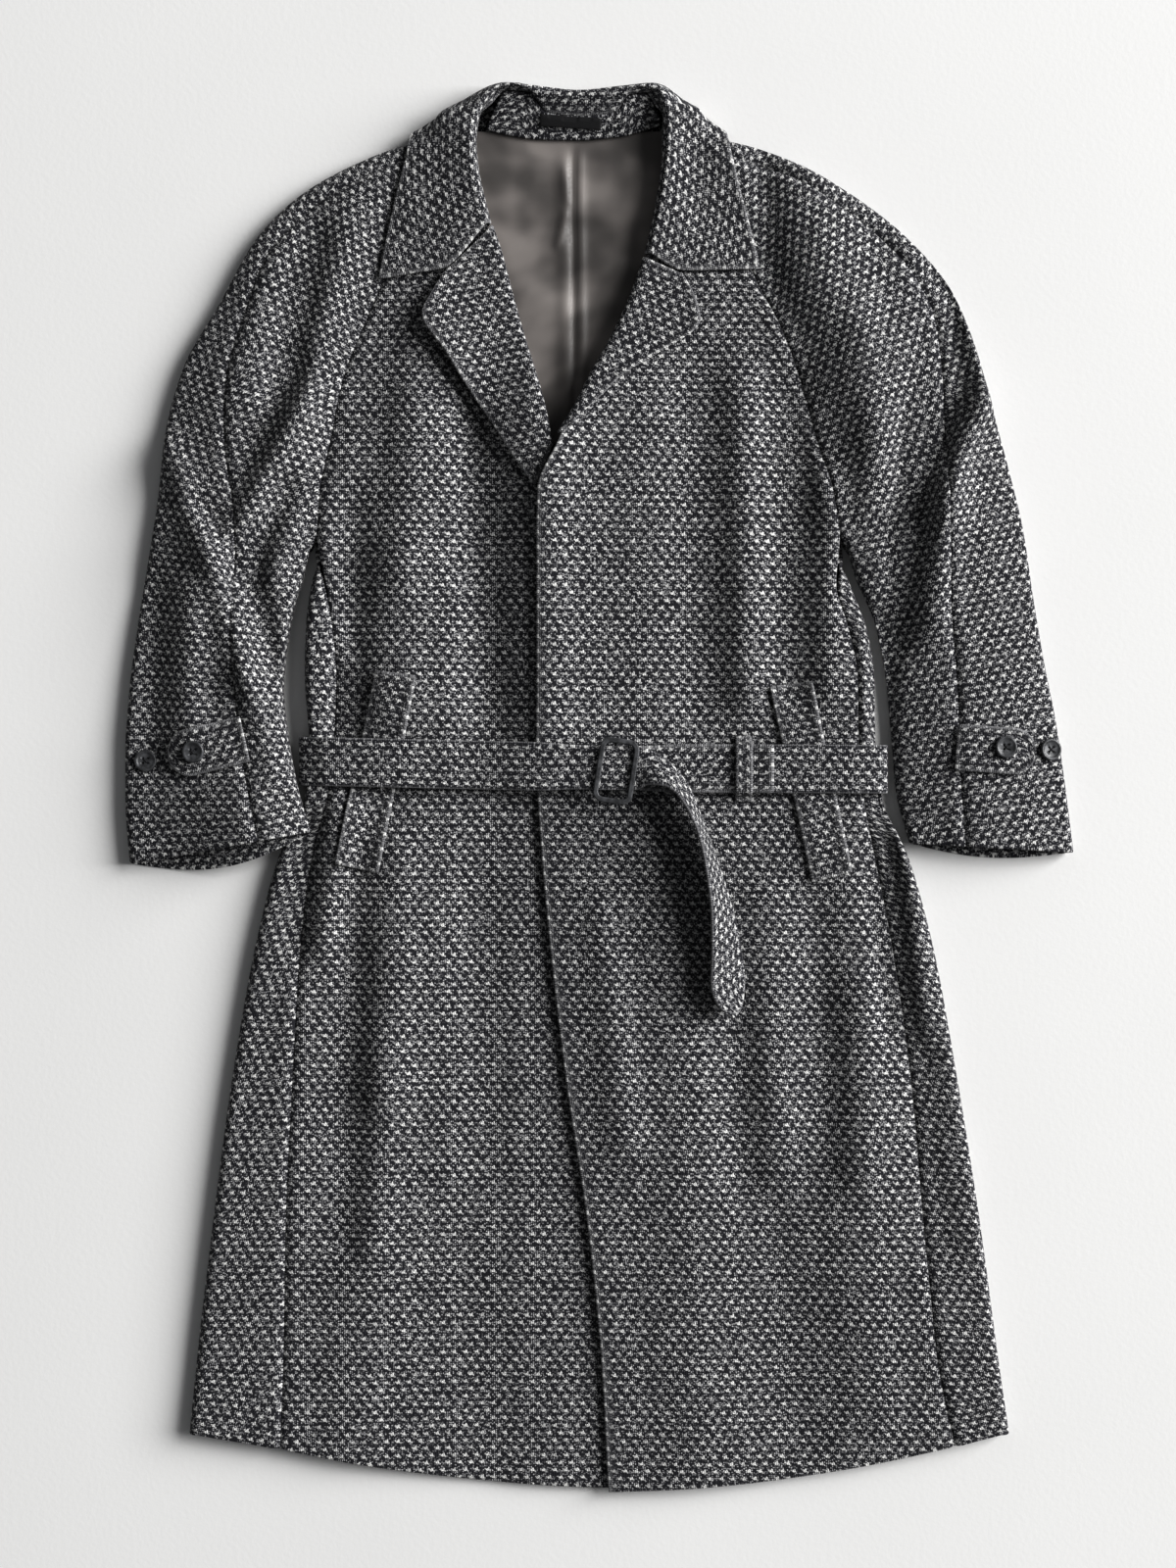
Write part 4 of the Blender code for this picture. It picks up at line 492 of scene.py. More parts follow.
# More ridges and troughs of the upper layer, narrower or lower than those of the solids.
FINE_FOLDS = (
    Fold(-166, 340, -168, 200, 24, 8),
    Fold(-176, 180, -172, 70, 30, 10),
    Fold(-216, 240, -214, 70, 16, -5),
    Fold(-110, 310, -98, 80, 20, -8),
    Fold(-50, 335, -48, 60, 32, 13),
    Fold(84, 340, 88, 80, 28, -7),
    Fold(122, 340, 126, 90, 18, 6),
    Fold(158, 340, 164, 90, 18, -6),
    Fold(200, 260, 200, 90, 15, 6),
    Fold(-176, -60, -186, -250, 24, 9),
    Fold(-186, -250, -192, -400, 24, 5),
    Fold(-214, -150, -222, -380, 20, -5),
    Fold(-206, -380, -212, -560, 34, 4),
    Fold(-112, -430, -102, -570, 34, -3),
    Fold(-264, 320, -280, 40, 52, 8),
    Fold(70, -160, 84, -560, 36, 5),
    Fold(150, -340, 168, -550, 30, -4),
    Fold(218, -330, 240, -530, 28, 4),
    Fold(-105, -100, -100, -320, 22, -4),
    Fold(-224, -20, -238, -130, 14, 8),
    Fold(-252, -30, -262, -130, 12, -5),
    Fold(4, -120, 22, -300, 20, 7),
    Fold(116, -200, 124, -330, 18, -4),
    Fold(146, -100, 152, -330, 20, 5),
    Fold(188, -110, 196, -330, 18, -4),
    Fold(226, -180, 234, -330, 20, 6),
    Fold(247, 140, 243, -20, 11, -9),
    Fold(243, -60, 258, -200, 13, -11),
    Fold(264, -50, 281, -210, 12, 7),
    Fold(-372, 290, -337, 205, 14, 8),
    Fold(-337, 205, -302, 95, 14, 8),
    Fold(-302, 95, -280, 20, 14, 7),
    Fold(-250, 335, -318, 222, 12, 6),
    Fold(-275, 260, -303, 195, 13, -9),
    Fold(-303, 195, -285, 110, 13, -9),
    Fold(-352, 165, -354, 60, 15, 7),
    Fold(-384, 170, -388, 30, 12, -5),
    Fold(-262, 440, -282, 350, 14, -5),
    Fold(322, 430, 330, 340, 18, 14),
    Fold(330, 340, 300, 250, 16, 12),
    Fold(300, 250, 288, 150, 15, 8),
    Fold(296, 425, 278, 310, 22, -12),
    Fold(278, 310, 266, 225, 15, -10),
    Fold(266, 225, 256, 130, 12, -9),
    Fold(140, 545, 150, 440, 12, -6),
    Fold(186, 525, 192, 430, 24, 7),
    Fold(172, 350, 172, 240, 14, -5),
)

# Ridges and troughs of the lining: its centre pleat in three rows, then its soft folds.
LINING_FOLDS = (
    Fold(-31, 575, -29, 290, 6, 1.6),
    Fold(-23, 575, -21, 290, 2.4, -1.2),
    Fold(-17, 575, -14, 290, 4, 1.7),
    Fold(-100, 566, -66, 558, 5, 2.2),
    Fold(-92, 530, -40, 540, 12, 2.4),
    Fold(-78, 468, -40, 474, 12, 2.4),
    Fold(-30, 536, -28, 512, 3, 1.6),
    Fold(-30, 498, -36, 474, 3, 1.6),
    Fold(-62, 430, -36, 420, 14, 2.0),
    Fold(10, 540, 44, 530, 14, 2.0),
    Fold(6, 450, 26, 446, 14, 2.0),
)

SIDES = ("right", "left")
ALL_BORDERS = ("first_row", "last_row", "first_column", "last_column")
FRONT_EDGES = ("first_column",)  # of the left front, which laps over the right

# Sewing and edges.
EDGE_STITCH = 5.0  # from an edge to the line sewn along it
END_STITCH = 11.0  # from the sewn-back end of the belt
STITCH_SHADE = 1.5  # half the width of the painted shade along a sewn line, where the stitches draw the cloth in
EDGE_HIGHLIGHT = 1.6  # how far in from a free edge the painted highlight reaches, where the edge catches the light
BELT_LINE_Z = 14.0  # the belt's sewn lines are followed above this level
TAB_STAND = 1.9  # how far a tab stands off its sleeve
BUTTON_THREAD = 0.9
THREAD_SINK = 1.6  # how far the threads of a button go down into its holes
THREAD_BEND = 0.75  # share of the way out to a hole's middle where they start down
THREAD_CROSSING = 0.5  # how far the upper thread passes over the lower
BUCKLE_GROOVE = 0.24  # depth, as a share of half the bar's thickness
GROOVE_FROM_TOP = (0.72, 1.0)  # shares of the way up from the bar's middle where it starts and is full

# Rows that the grain of a piece is eased over; the lapels' are so many that it is straight.
LAPEL_EASE = 400
COLLAR_EASE = 41
SLEEVE_EASE = 61

# The stage, in metres but for the last three.
FLOOR_GAP = 0.0003  # from the coat down to the floor
FLOOR_REACH = 4.0
WINDOW_DISTANCE = 18.0
WINDOW_SIZE = 12.0
WINDOW_HEIGHT = math.radians(29)
WINDOW_BEARING = math.radians(18)
WINDOW_COLOUR = (1.0, 1.0, 0.995)
FILL_COLOUR = (0.97, 0.985, 1.0)
PRINT_GAMMA = 0.75
CAMERA_X = -9.8
CAMERA_Y = 4.25
CLOTH_LEVEL = 13.5  # height over the floor where the view has its stated length

# The right sides of the pieces made so far, and the same as surfaces to lay others on.
GRIDS = {}
TOPS = {}


def smoothstep(low, high, value):
    ramp = np.clip((np.asarray(value, float) - low) / (high - low), 0.0, 1.0)
    return ramp * ramp * (3.0 - 2.0 * ramp)


def curve_through(knots, values, at):
    """A smooth curve through the values at the knots, which never passes beyond them between two knots."""
    knots = np.asarray(knots, float)
    values = np.asarray(values, float)
    step = np.diff(knots)[:, None]
    rise = np.diff(values, axis=0) / step
    slope = np.zeros_like(values)
    slope[0] = rise[0]
    slope[-1] = rise[-1]
    before, after = rise[:-1], rise[1:]
    same_way = before * after > 0
    weight_before = 2 * step[1:] + step[:-1]
    weight_after = step[1:] + 2 * step[:-1]
    safe_before = np.where(same_way, before, 1.0)
    safe_after = np.where(same_way, after, 1.0)
    mean = (weight_before + weight_after) / (weight_before / safe_before + weight_after / safe_after)
    slope[1:-1] = np.where(same_way, mean, 0.0)
    at = np.clip(at, knots[0], knots[-1])
    place = np.clip(np.searchsorted(knots, at, side="right") - 1, 0, len(knots) - 2)
    width = step[place]
    t = ((at - knots[place]) / width[:, 0])[:, None]
    return (
        values[place] * (1 + 2 * t) * (1 - t) ** 2
        + slope[place] * width * t * (1 - t) ** 2
        + values[place + 1] * t * t * (3 - 2 * t)
        + slope[place + 1] * width * t * t * (t - 1)
    )


def run_along(points, axis=0):
    """How far each point is along its line, or along this axis of a grid."""
    steps = np.linalg.norm(np.diff(points, axis=axis), axis=-1)
    return np.insert(np.cumsum(steps, axis=axis), 0, 0.0, axis=axis)


def rows_at(rows, places):
    """The table's rows at these places along it, where 2.5 is half way from row 2 to row 3."""
    made = curve_through(np.arange(len(rows)), rows, np.asarray(places, float))
    return [type(rows[0])(*row) for row in made]


def rows_between(rows, count, plan):
    """The table's rows filled in to this many, evenly along the plan columns named."""
    values = np.array(rows, float)
    places = values[:, [rows[0]._fields.index(name) for name in plan]]
    knots = run_along(places)
    made = curve_through(knots, values, np.linspace(0.0, knots[-1], count))
    return [type(rows[0])(*row) for row in made]


def fold_height(x, y, folds):
    """How far the ridges and troughs raise the cloth at a place in the plan."""
    total = np.zeros(np.broadcast(x, y).shape)
    for fold in folds:
        along = np.array([fold.end_x - fold.start_x, fold.end_y - fold.start_y], float)
        length = np.linalg.norm(along)
        along /= length
        far = (x - fold.start_x) * along[0] + (y - fold.start_y) * along[1]
        aside = (x - fold.start_x) * along[1] - (y - fold.start_y) * along[0]
        past = np.maximum(0.0, np.maximum(-far, far - length))
        total += fold.height * np.exp(-(aside**2 + (FOLD_FADE * past) ** 2) / fold.width**2)
    return total


def collar_rise(x, y):
    """Height of the lower layer over the floor where the collar is under it."""
    across = 1 - smoothstep(COLLAR_REACH, COLLAR_REACH_END, np.abs(x - COLLAR_MIDDLE_X))
    return COLLAR_RISE * smoothstep(COLLAR_LOW_END, COLLAR_LOW, y) * across


def belt_y(x):
    """Level of the belt's middle at this place across the coat."""
    return np.interp(x, [level.x for level in BELT_LEVELS], [level.y for level in BELT_LEVELS])


def back_rise(x, y):
    """Height of the back over the floor: it lies on the belt and on the collar."""
    past = np.abs(y - belt_y(x)) - BELT_WIDTH / 2
    on_belt = 1 - smoothstep(BELT_RAMP_START, BELT_RAMP_END, past)
    return BELT_RISE * on_belt + collar_rise(x, y)


def bulge(share):
    """0 at each end and 1 half way."""
    return 4 * share * (1 - share)


def grid_normals(grid):
    """The way the right side faces at each point of a grid."""
    along = np.gradient(grid, axis=0)
    across = np.gradient(grid, axis=1)
    normal = np.cross(across, along)
    return normal / np.linalg.norm(normal, axis=2, keepdims=True)


def grid_faces(rows, columns):
    """Numbers of the four corners of each face of a grid."""
    first = (np.arange(rows - 1)[:, None] * columns + np.arange(columns - 1)[None]).ravel()
    return np.column_stack([first, first + 1, first + columns + 1, first + columns])


def surface_of(grid):
    """The right side of a piece, to lay others on."""
    return BVHTree.FromPolygons(grid.reshape(-1, 3).tolist(), grid_faces(*grid.shape[:2]).tolist())


def height_on(surfaces, x, y, otherwise=None):
    """Height of the highest of these surfaces at a place in the plan, or next to it over a seam."""
    found = []
    for aside_x, aside_y in ((0, 0), (PROBE, 0), (-PROBE, 0), (0, PROBE), (0, -PROBE)):
        for surface in surfaces:
            above = Vector((x + aside_x, y + aside_y, SKY_Z))
            place = surface.ray_cast(above, Vector((0.0, 0.0, -1.0)))[0]
            if place is not None:
                found.append(place.z)
    return max(found) if found else otherwise


def half_turn(low, high, count):
    """Offsets and heights of a fold from its lower layer round to its upper one."""
    angle = np.linspace(-math.pi / 2, math.pi / 2, count)
    radius = (high - low) / 2
    return radius * (1 - np.cos(angle)), (high + low) / 2 + radius * np.sin(angle), radius


def even_levels(table, names, step):
    """Places along a table that are this far apart on the cloth, measured in the columns named."""
    fine = np.linspace(0.0, len(table) - 1, 800)
    made = curve_through(np.arange(len(table)), table, fine)
    plan = made[:, [table[0]._fields.index(name) for name in names]]
    far = run_along(plan)
    return np.interp(np.linspace(0.0, far[-1], int(far[-1] / step) + 2), far, fine)


def wrinkles(x, y, depth=WRINKLE_DEPTH):
    """Small soft rises and dips of cloth that has been worn and laid down by hand."""
    x, y = np.broadcast_arrays(np.asarray(x, float), np.asarray(y, float))
    made = []
    for place_x, place_y in zip(x.ravel(), y.ravel()):
        far_x, far_y = place_x / WRINKLE_LENGTH, place_y / WRINKLE_LENGTH
        broad = noise.noise(Vector((far_x, far_y / WRINKLE_STRETCH, WRINKLE_NOISE)))
        small = noise.noise(Vector((far_x / SMALL_ACROSS, far_y / SMALL_ALONG, SMALL_NOISE)))
        made.append(depth * (broad + SMALL_WRINKLE * small))
    return np.array(made).reshape(x.shape)


def seam_dip(distance):
    """The groove along a seam, and the low ridge of the turning beside it."""
    groove = -SEAM_DEPTH * np.exp(-((distance / SEAM_WIDTH) ** 2))
    return groove + TURNING_RISE * np.exp(-(((distance - TURNING_WIDTH) / TURNING_SPREAD) ** 2))


def surface_detail(x, y):
    """All the rises and dips of the upper layer at a place in the plan, kept off the layer below."""
    free = fold_height(x, y, FOLDS + FINE_FOLDS) + wrinkles(x, y)
    return DIP_EASE * np.logaddexp(0.0, (free + DEEPEST_DIP) / DIP_EASE) - DEEPEST_DIP


def back_half(row, side, strip, turn):
    """The seam strip and the fold of the back at one side, from the seam to the lower layer."""
    sign = -1 if side == "right" else 1
    seam_x, seam_y = getattr(row, side + "_seam_x"), getattr(row, side + "_seam_y")
    fold_x, fold_y = getattr(row, side + "_fold_x"), getattr(row, side + "_fold_y")
    low = float(back_rise(fold_x - sign * FOLD_PROBE, fold_y))
    offset, height, radius = half_turn(low, FOLD_HEIGHT, turn)
    wrapped = []
    for part in np.linspace(0.0, 1.0, strip, endpoint=False):
        x = (seam_x + sign * SEAM_GAP) * (1 - part) + (fold_x - sign * radius) * part
        wrapped.append((x, seam_y * (1 - part) + fold_y * part, FOLD_HEIGHT))
    for off, z in zip(offset[::-1], height[::-1]):
        wrapped.append((fold_x - sign * off, fold_y, z))
    wrapped = np.array(wrapped)
    detail = surface_detail(wrapped[:, 0], wrapped[:, 1]) + seam_dip(np.abs(wrapped[:, 0] - seam_x))
    wrapped[:, 2] += detail * smoothstep(radius, FOLD_HEIGHT, wrapped[:, 2])
    flat = np.empty_like(wrapped)
    margin = np.linspace(0.0, SEAM_MARGIN, strip + turn)
    flat[:, 0] = fold_x - sign * (SEAM_GAP + margin)
    flat[:, 1] = fold_y
    flat[:, 2] = back_rise(flat[:, 0], flat[:, 1])
    return wrapped * row.wrap + flat * (1 - row.wrap)


def back_grid(levels, strip, turn, flat):
    """The back, from the right seam round the fold, under the coat and round to the left seam."""
    rows = rows_at(BACK_ROWS, levels)
    grid = []
    for row in rows:
        right = back_half(row, "right", strip, turn)
        left = back_half(row, "left", strip, turn)[::-1]
        across = np.linspace(0.0, 1.0, flat + 2)[1:-1]
        x = right[-1, 0] * (1 - across) + left[0, 0] * across
        side_y = row.right_fold_y * (1 - across) + row.left_fold_y * across
        y = side_y + (row.middle_y - side_y) * (1 - np.abs(2 * across - 1) ** HEM_ROUNDNESS)
        lower = np.stack([x, y, back_rise(x, y)], axis=1)
        grid.append(np.concatenate([right, lower, left]))
    return np.array(grid)[:, ::-1]


def front_grid(table, levels, columns, fly):
    """A front, from its side to its edge, with the sewn line of the fly where it has one."""
    t = np.linspace(0.0, 1.0, columns)
    grid, cloth_places = [], []
    for row in rows_at(table, levels):
        side = np.array([row.side_x, row.side_y])
        edge = np.array([row.edge_x, row.edge_y])
        width = np.linalg.norm(edge - side)
        way = (edge - side) / width
        start = side + way * SEAM_GAP
        end = edge - way * ROLL_INSET * row.roll
        plan = start[None] * (1 - t[:, None]) + end[None] * t[:, None]
        plan[:, 1] -= row.sag * bulge(t)
        z = row.side_z * (1 - t) * (1 - 2 * t) + row.middle_z * bulge(t) + row.edge_z * t * (2 * t - 1)
        z = z + surface_detail(plan[:, 0], plan[:, 1]) + seam_dip(t * width)
        if fly:
            from_edge = (1 - t) * width
            sewn = smoothstep(FLY_LOW_Y - FLY_FADE, FLY_LOW_Y + FLY_FADE, row.edge_y) * (1 - row.roll)
            z = z - FLY_DEPTH * sewn * np.exp(-(((from_edge - FLY_WIDTH) / FLY_LINE) ** 2))
        grid.append(np.column_stack([plan, z]))
        slant = (row.edge_x - FLY_EDGE_X) * (1 - row.roll) if fly else 0.0
        cloth_places.append(np.column_stack([plan[:, 0] - slant, plan[:, 1]]))
    grid, cloth_places = np.array(grid), np.array(cloth_places)
    if grid[0, 0, 0] > grid[0, -1, 0]:
        return grid[:, ::-1], cloth_places[:, ::-1]
    return grid, cloth_places


def sleeve_frame(row):
    """The inner side of a section, the way across it and its width."""
    inner = np.array([row.inner_x, row.inner_y])
    outer = np.array([row.outer_x, row.outer_y])
    width = np.linalg.norm(outer - inner)
    return inner, (outer - inner) / width, width


def sleeve_points(row, across, height, upper, from_seam):
    """Points of one section, from distances across it and heights over the lower layer's level."""
    inner, way, width = sleeve_frame(row)
    plan = inner[None] + across[:, None] * way[None]
    down = np.array([way[1], -way[0]])
    down = down if down[1] < 0 else -down
    lower = 1 - smoothstep(BOW_FROM, FOLD_HEIGHT, height)
    past = row.bow * np.sin(math.pi * np.clip(across / width, 0, 1)) * lower
    plan = plan + past[:, None] * down[None]
    lifted = row.lift * (1 - smoothstep(LIFT_FROM, LIFT_TO, across / width))
    raglan = seam_dip(across) * (1 - row.closed)
    folds = (surface_detail(plan[:, 0], plan[:, 1]) + seam_dip(from_seam) + raglan) * upper
    return np.column_stack([plan, height + lifted + folds])


def crown_height(row, across, width, radius):
    """Height of a sleeve's upper side, which is crowned between its folds."""
    t = np.clip((across - radius) / (width - 2 * radius), 0.0, 1.0)
    return FOLD_HEIGHT + row.crown * bulge(t)


def sleeve_front_grid(table, levels, turn, columns):
    """The upper piece of a sleeve, from the inner side to the seam on top."""
    grid = []
    for row in rows_at(table, levels):
        inner, way, width = sleeve_frame(row)
        low = float(collar_rise(*(inner + way * FOLD_PROBE)))
        offset, height, radius = half_turn(low, FOLD_HEIGHT, turn)
        margin = np.linspace(SEAM_GAP, radius, turn)
        side = offset * row.closed + margin * (1 - row.closed)
        side_z = height * row.closed + FOLD_HEIGHT * (1 - row.closed)
        end = max(width - row.seam - SEAM_GAP, radius + LEAST_TOP)
        top = np.linspace(radius, end, columns + 1)[1:]
        across = np.concatenate([side, top])
        z = np.concatenate([side_z, crown_height(row, top, width, radius)])
        upper = smoothstep(0.5 * FOLD_HEIGHT, FOLD_HEIGHT, z)
        grid.append(sleeve_points(row, across, z, upper, np.abs(end - across)))
    return np.array(grid)


def sleeve_back_grid(table, levels, columns, turn, flat):
    """The under piece of a sleeve, from the seam on top round the outer fold and back underneath."""
    grid = []
    for row in rows_at(table, levels):
        inner, way, width = sleeve_frame(row)
        low = float(collar_rise(*(inner + way * (width - FOLD_PROBE))))
        offset, height, radius = half_turn(low, FOLD_HEIGHT, turn)
        start = max(width - row.seam, radius + LEAST_TOP) + SEAM_GAP
        top = np.linspace(start, width - radius, columns, endpoint=False)
        end = row.closed * (radius + UNDER_CLEARANCE) + SEAM_GAP
        beneath = np.linspace(width - radius, end, flat + 1)[1:]
        under_plan = inner[None] + beneath[:, None] * way[None]
        under = collar_rise(under_plan[:, 0], under_plan[:, 1])
        across = np.concatenate([top, (width - offset)[::-1], beneath])
        z = np.concatenate([crown_height(row, top, width, radius), height[::-1], under])
        upper = smoothstep(0.5 * FOLD_HEIGHT, FOLD_HEIGHT, z)
        grid.append(sleeve_points(row, across, z, upper, np.abs(across - start)))
    return np.array(grid)


def facing_up(grid):
    """The grid turned, if need be, so that its normals point up where it is highest."""
    normal = grid_normals(grid)
    middle = np.unravel_index(np.argmax(grid[:, :, 2]), grid.shape[:2])
    return grid if normal[middle][2] > 0 else grid[:, ::-1]


def lapel_grid(table, levels, turn, columns, front):
    """A facing: from its leg under the front, round the roll, to its free edge on the front."""
    rows = rows_between(table, levels, ("edge_x", "edge_y"))
    grid = []
    for row in rows:
        roll = np.array([row.roll_x, row.roll_y])
        edge = np.array([row.edge_x, row.edge_y])
        width = np.linalg.norm(edge - roll)
        way = (edge - roll) / width

        def on_front(across):
            place = roll + way * max(across, ROLL_PROBE)
            return height_on([front], place[0], place[1], FOLD_HEIGHT)

        near = [on_front(far) for far in LAPEL_PROBES]
        top_z = max(near) + 2 * LAY_GAP + CLOTH
        low_z = min(near) - 2 * CLOTH - 2 * LAY_GAP
        offset, height, radius = half_turn(low_z, top_z, turn)
        leg = np.array([FACING_LEG, (FACING_LEG + radius) / 2])
        leg_z = [on_front(far) - 2 * CLOTH - 2 * LAY_GAP for far in leg]
        top = np.linspace(radius, max(width, radius + LAPEL_LEAST), columns + 1)[1:]
        top_heights = []
        for far in top:
            share = (far - radius) / (top[-1] - radius)
            top_heights.append(on_front(far) + 2 * LAY_GAP + CLOTH + row.lift * share**LAPEL_CURL)
        across = np.concatenate([leg, offset, top])
        z = np.concatenate([leg_z, height, top_heights])
        plan = roll[None] + across[:, None] * way[None]
        grid.append(np.column_stack([plan, z]))
    return facing_up(np.array(grid))


def collar_controls(row, below):
    """Seven points of a collar section, from its turned-in side over the roll to its free edge."""
    roll = np.array([row.roll_x, row.roll_y])
    bend = np.array([row.bend_x, row.bend_y])
    edge = np.array([row.edge_x, row.edge_y])
    out = (edge - roll) / np.linalg.norm(edge - roll)
    away = (bend - roll) / np.linalg.norm(bend - roll)

    def laid(place, stated):
        if stated or row.turn >= 0.5:
            return stated
        return height_on(below, place[0], place[1], FOLD_HEIGHT) + LAY_GAP + CLOTH + COLLAR_CLEARANCE

    def point(place, z):
        return np.array([place[0], place[1], z])

    def rolled(points, way):
        made = []
        for each in points:
            z = COLLAR_LEG_Z * (1 - each.share) + row.roll_z * each.share + each.over
            made.append(point(roll + way * each.out, z))
        return made

    on_front = rolled(ROLL_ON_FRONT, out)
    at_back = rolled(ROLL_AT_BACK, away)
    made = [a * (1 - row.turn) + b * row.turn for a, b in zip(on_front, at_back)]
    bend_z, edge_z = laid(bend, row.bend_z), laid(edge, row.edge_z)
    middle = (bend + edge) / 2
    along_front = point(middle, (bend_z + edge_z) / 2)
    on_floor = point(bend + (edge - bend) * FLOOR_BEND, 0.0)
    made.append(point(bend, bend_z))
    made.append(along_front * (1 - row.turn) + on_floor * row.turn)
    made.append(point(edge, edge_z))
    return np.array(made)


def collar_grid(levels, columns, below):
    """The collar, round the neck and across from its turned-in side to its free edge."""
    net = np.array([collar_controls(row, below) for row in COLLAR_ROWS])
    stations = np.arange(len(net), dtype=float)
    at = np.linspace(0.0, stations[-1], levels)
    sections = curve_through(stations, net.reshape(len(net), -1), at).reshape(levels, -1, 3)
    grid = []
    for section in sections:
        knots = np.arange(len(section), dtype=float)
        made = curve_through(knots, section, np.linspace(0.0, knots[-1], columns))
        for point in made[columns // 2 :]:
            under = height_on(below, point[0], point[1])
            if under is not None and point[2] > FOLD_HEIGHT:
                point[2] = max(point[2], under + 2 * LAY_GAP + CLOTH)
        grid.append(made)
    return facing_up(np.array(grid))


def stand_grid(levels, columns, below):
    """The collar stand, from the neck seam up to the turned-in side of the collar."""
    net = np.array([collar_controls(row, below) for row in COLLAR_ROWS])
    stations = np.arange(len(net), dtype=float)
    rows = rows_between(STAND_ROWS, levels, ("foot_x", "foot_y"))
    grid = []
    for row in rows:
        place = np.array([row.collar_row])
        top = curve_through(stations, net[:, 0], place)[0]
        foot = np.array([row.foot_x, row.foot_y, STAND_FOOT_Z])
        slope = (top - foot) / np.linalg.norm(top - foot)
        top = top - slope * 3 * SEAM_GAP
        t = np.linspace(0.0, 1.0, columns)[:, None]
        grid.append(foot[None] * (1 - t) + top[None] * t)
    return facing_up(np.array(grid))


def lining_grid(levels, columns):
    """The lining in the neck, with its centre pleat and soft folds."""
    grid = []
    for row in rows_between(LINING_ROWS, levels, ("y",)):
        x = np.linspace(row.right_x, row.left_x, columns)
        y = np.full(columns, row.y)
        z = back_rise(x, y) + CLOTH + LAY_GAP + SATIN + LINING_LOFT
        free = 1 - smoothstep(*LINING_HELD, y)
        folds = fold_height(x, y, LINING_FOLDS) + wrinkles(x, y, LINING_WRINKLES)
        grid.append(np.column_stack([x, y, z + folds * free - LINING_LOFT * (1 - free)]))
    return facing_up(np.array(grid))


def laid_grid(plan, below, wall, gap):
    """A piece that lies on others: its plan, a gap and its wall over them."""
    rows, columns, _ = plan.shape
    grid = np.zeros((rows, columns, 3))
    for row in range(rows):
        for column in range(columns):
            x, y = plan[row, column]
            grid[row, column] = (x, y, height_on(below, x, y, FOLD_HEIGHT) + gap + wall)
    return facing_up(grid)


def welt_plan(welt, levels, columns):
    """A grid in the plan between four corners."""
    s = np.linspace(0.0, 1.0, levels)[:, None, None]
    t = np.linspace(0.0, 1.0, columns)[None, :, None]
    top = np.array(welt.top_side) * (1 - t) + np.array(welt.top_front) * t
    low = np.array(welt.low_side) * (1 - t) + np.array(welt.low_front) * t
    return top * (1 - s) + low * s


def tab_plan(tab, levels, columns):
    """A strap with a round end, from the seam outward."""
    way = np.array([math.cos(tab.angle), math.sin(tab.angle)])
    aside = np.array([-way[1], way[0]])
    root = np.array([tab.root_x, tab.root_y])
    radius = TAB_WIDTH / 2
    straight = np.linspace(0.0, TAB_LENGTH - radius, levels - levels // 2)
    angle = np.linspace(0.0, TAB_END, levels // 2 + 1)[1:]
    far = np.concatenate([straight, straight[-1] + radius * np.sin(angle)])
    half = np.concatenate([np.full(len(straight), radius), radius * np.cos(angle)])
    across = np.linspace(-1.0, 1.0, columns)
    return root + far[:, None, None] * way + (half[:, None] * across[None])[:, :, None] * aside


def label_corners():
    """The four corners of the label, named as a welt's are."""
    x, y = LABEL_CENTRE
    half_x, half_y = LABEL_SIZE[0] / 2, LABEL_SIZE[1] / 2
    return Welt(
        (x - half_x, y + half_y + LABEL_TILT),
        (x + half_x, y + half_y - LABEL_TILT),
        (x + half_x, y - half_y - LABEL_TILT),
        (x - half_x, y - half_y + LABEL_TILT),
    )


def belt_heights(xs, below):
    """Heights of the belt's middle over the fronts, smoothed as a stiff strip bridges what it lies on."""
    raw = []
    for x in xs:
        level = float(belt_y(x))
        tops = [height_on(below, x, level + off, FOLD_HEIGHT) for off in BELT_PROBES]
        raw.append(max(tops))
    raw = np.array(raw)
    reach = BELT_SMOOTHING // 2
    high = np.array([raw[max(0, i - reach) : i + reach + 1].max() for i in range(len(raw))])
    padded = np.pad(high, reach, mode="edge")
    smooth = np.convolve(padded, np.full(BELT_SMOOTHING, 1 / BELT_SMOOTHING), mode="valid")
    return np.maximum(smooth, raw) + LAY_GAP + BELT_WALL / 2


def belt_pair(x, z, width=BELT_WIDTH):
    """The two edge points of the belt at a place across the coat, skewed with the buckle near its bar."""
    level = float(belt_y(x))
    skewed = 1 - smoothstep(*SKEW_FROM_BAR, abs(x - BELT_BAR_X))
    skew = math.tan(-BUCKLE_TURN) * width / 2 * float(skewed)
    return (x - skew, level - width / 2, z), (x + skew, level + width / 2, z)


def belt_turn(fold_x, way, angles):
    """The belt round a side fold of the coat: the left one where way is 1, the right where it is -1."""
    top_z = FOLD_HEIGHT + BELT_LAYER_GAP + BELT_WALL / 2
    radius = (top_z - BELT_WALL / 2) / 2
    reach = radius - (FOLD_HEIGHT - BELT_RISE) / 2
    made = []
    for angle in angles:
        x = fold_x + way * (reach - radius + radius * math.cos(angle))
        made.append(belt_pair(x, BELT_WALL / 2 + radius + radius * math.sin(angle)))
    return made


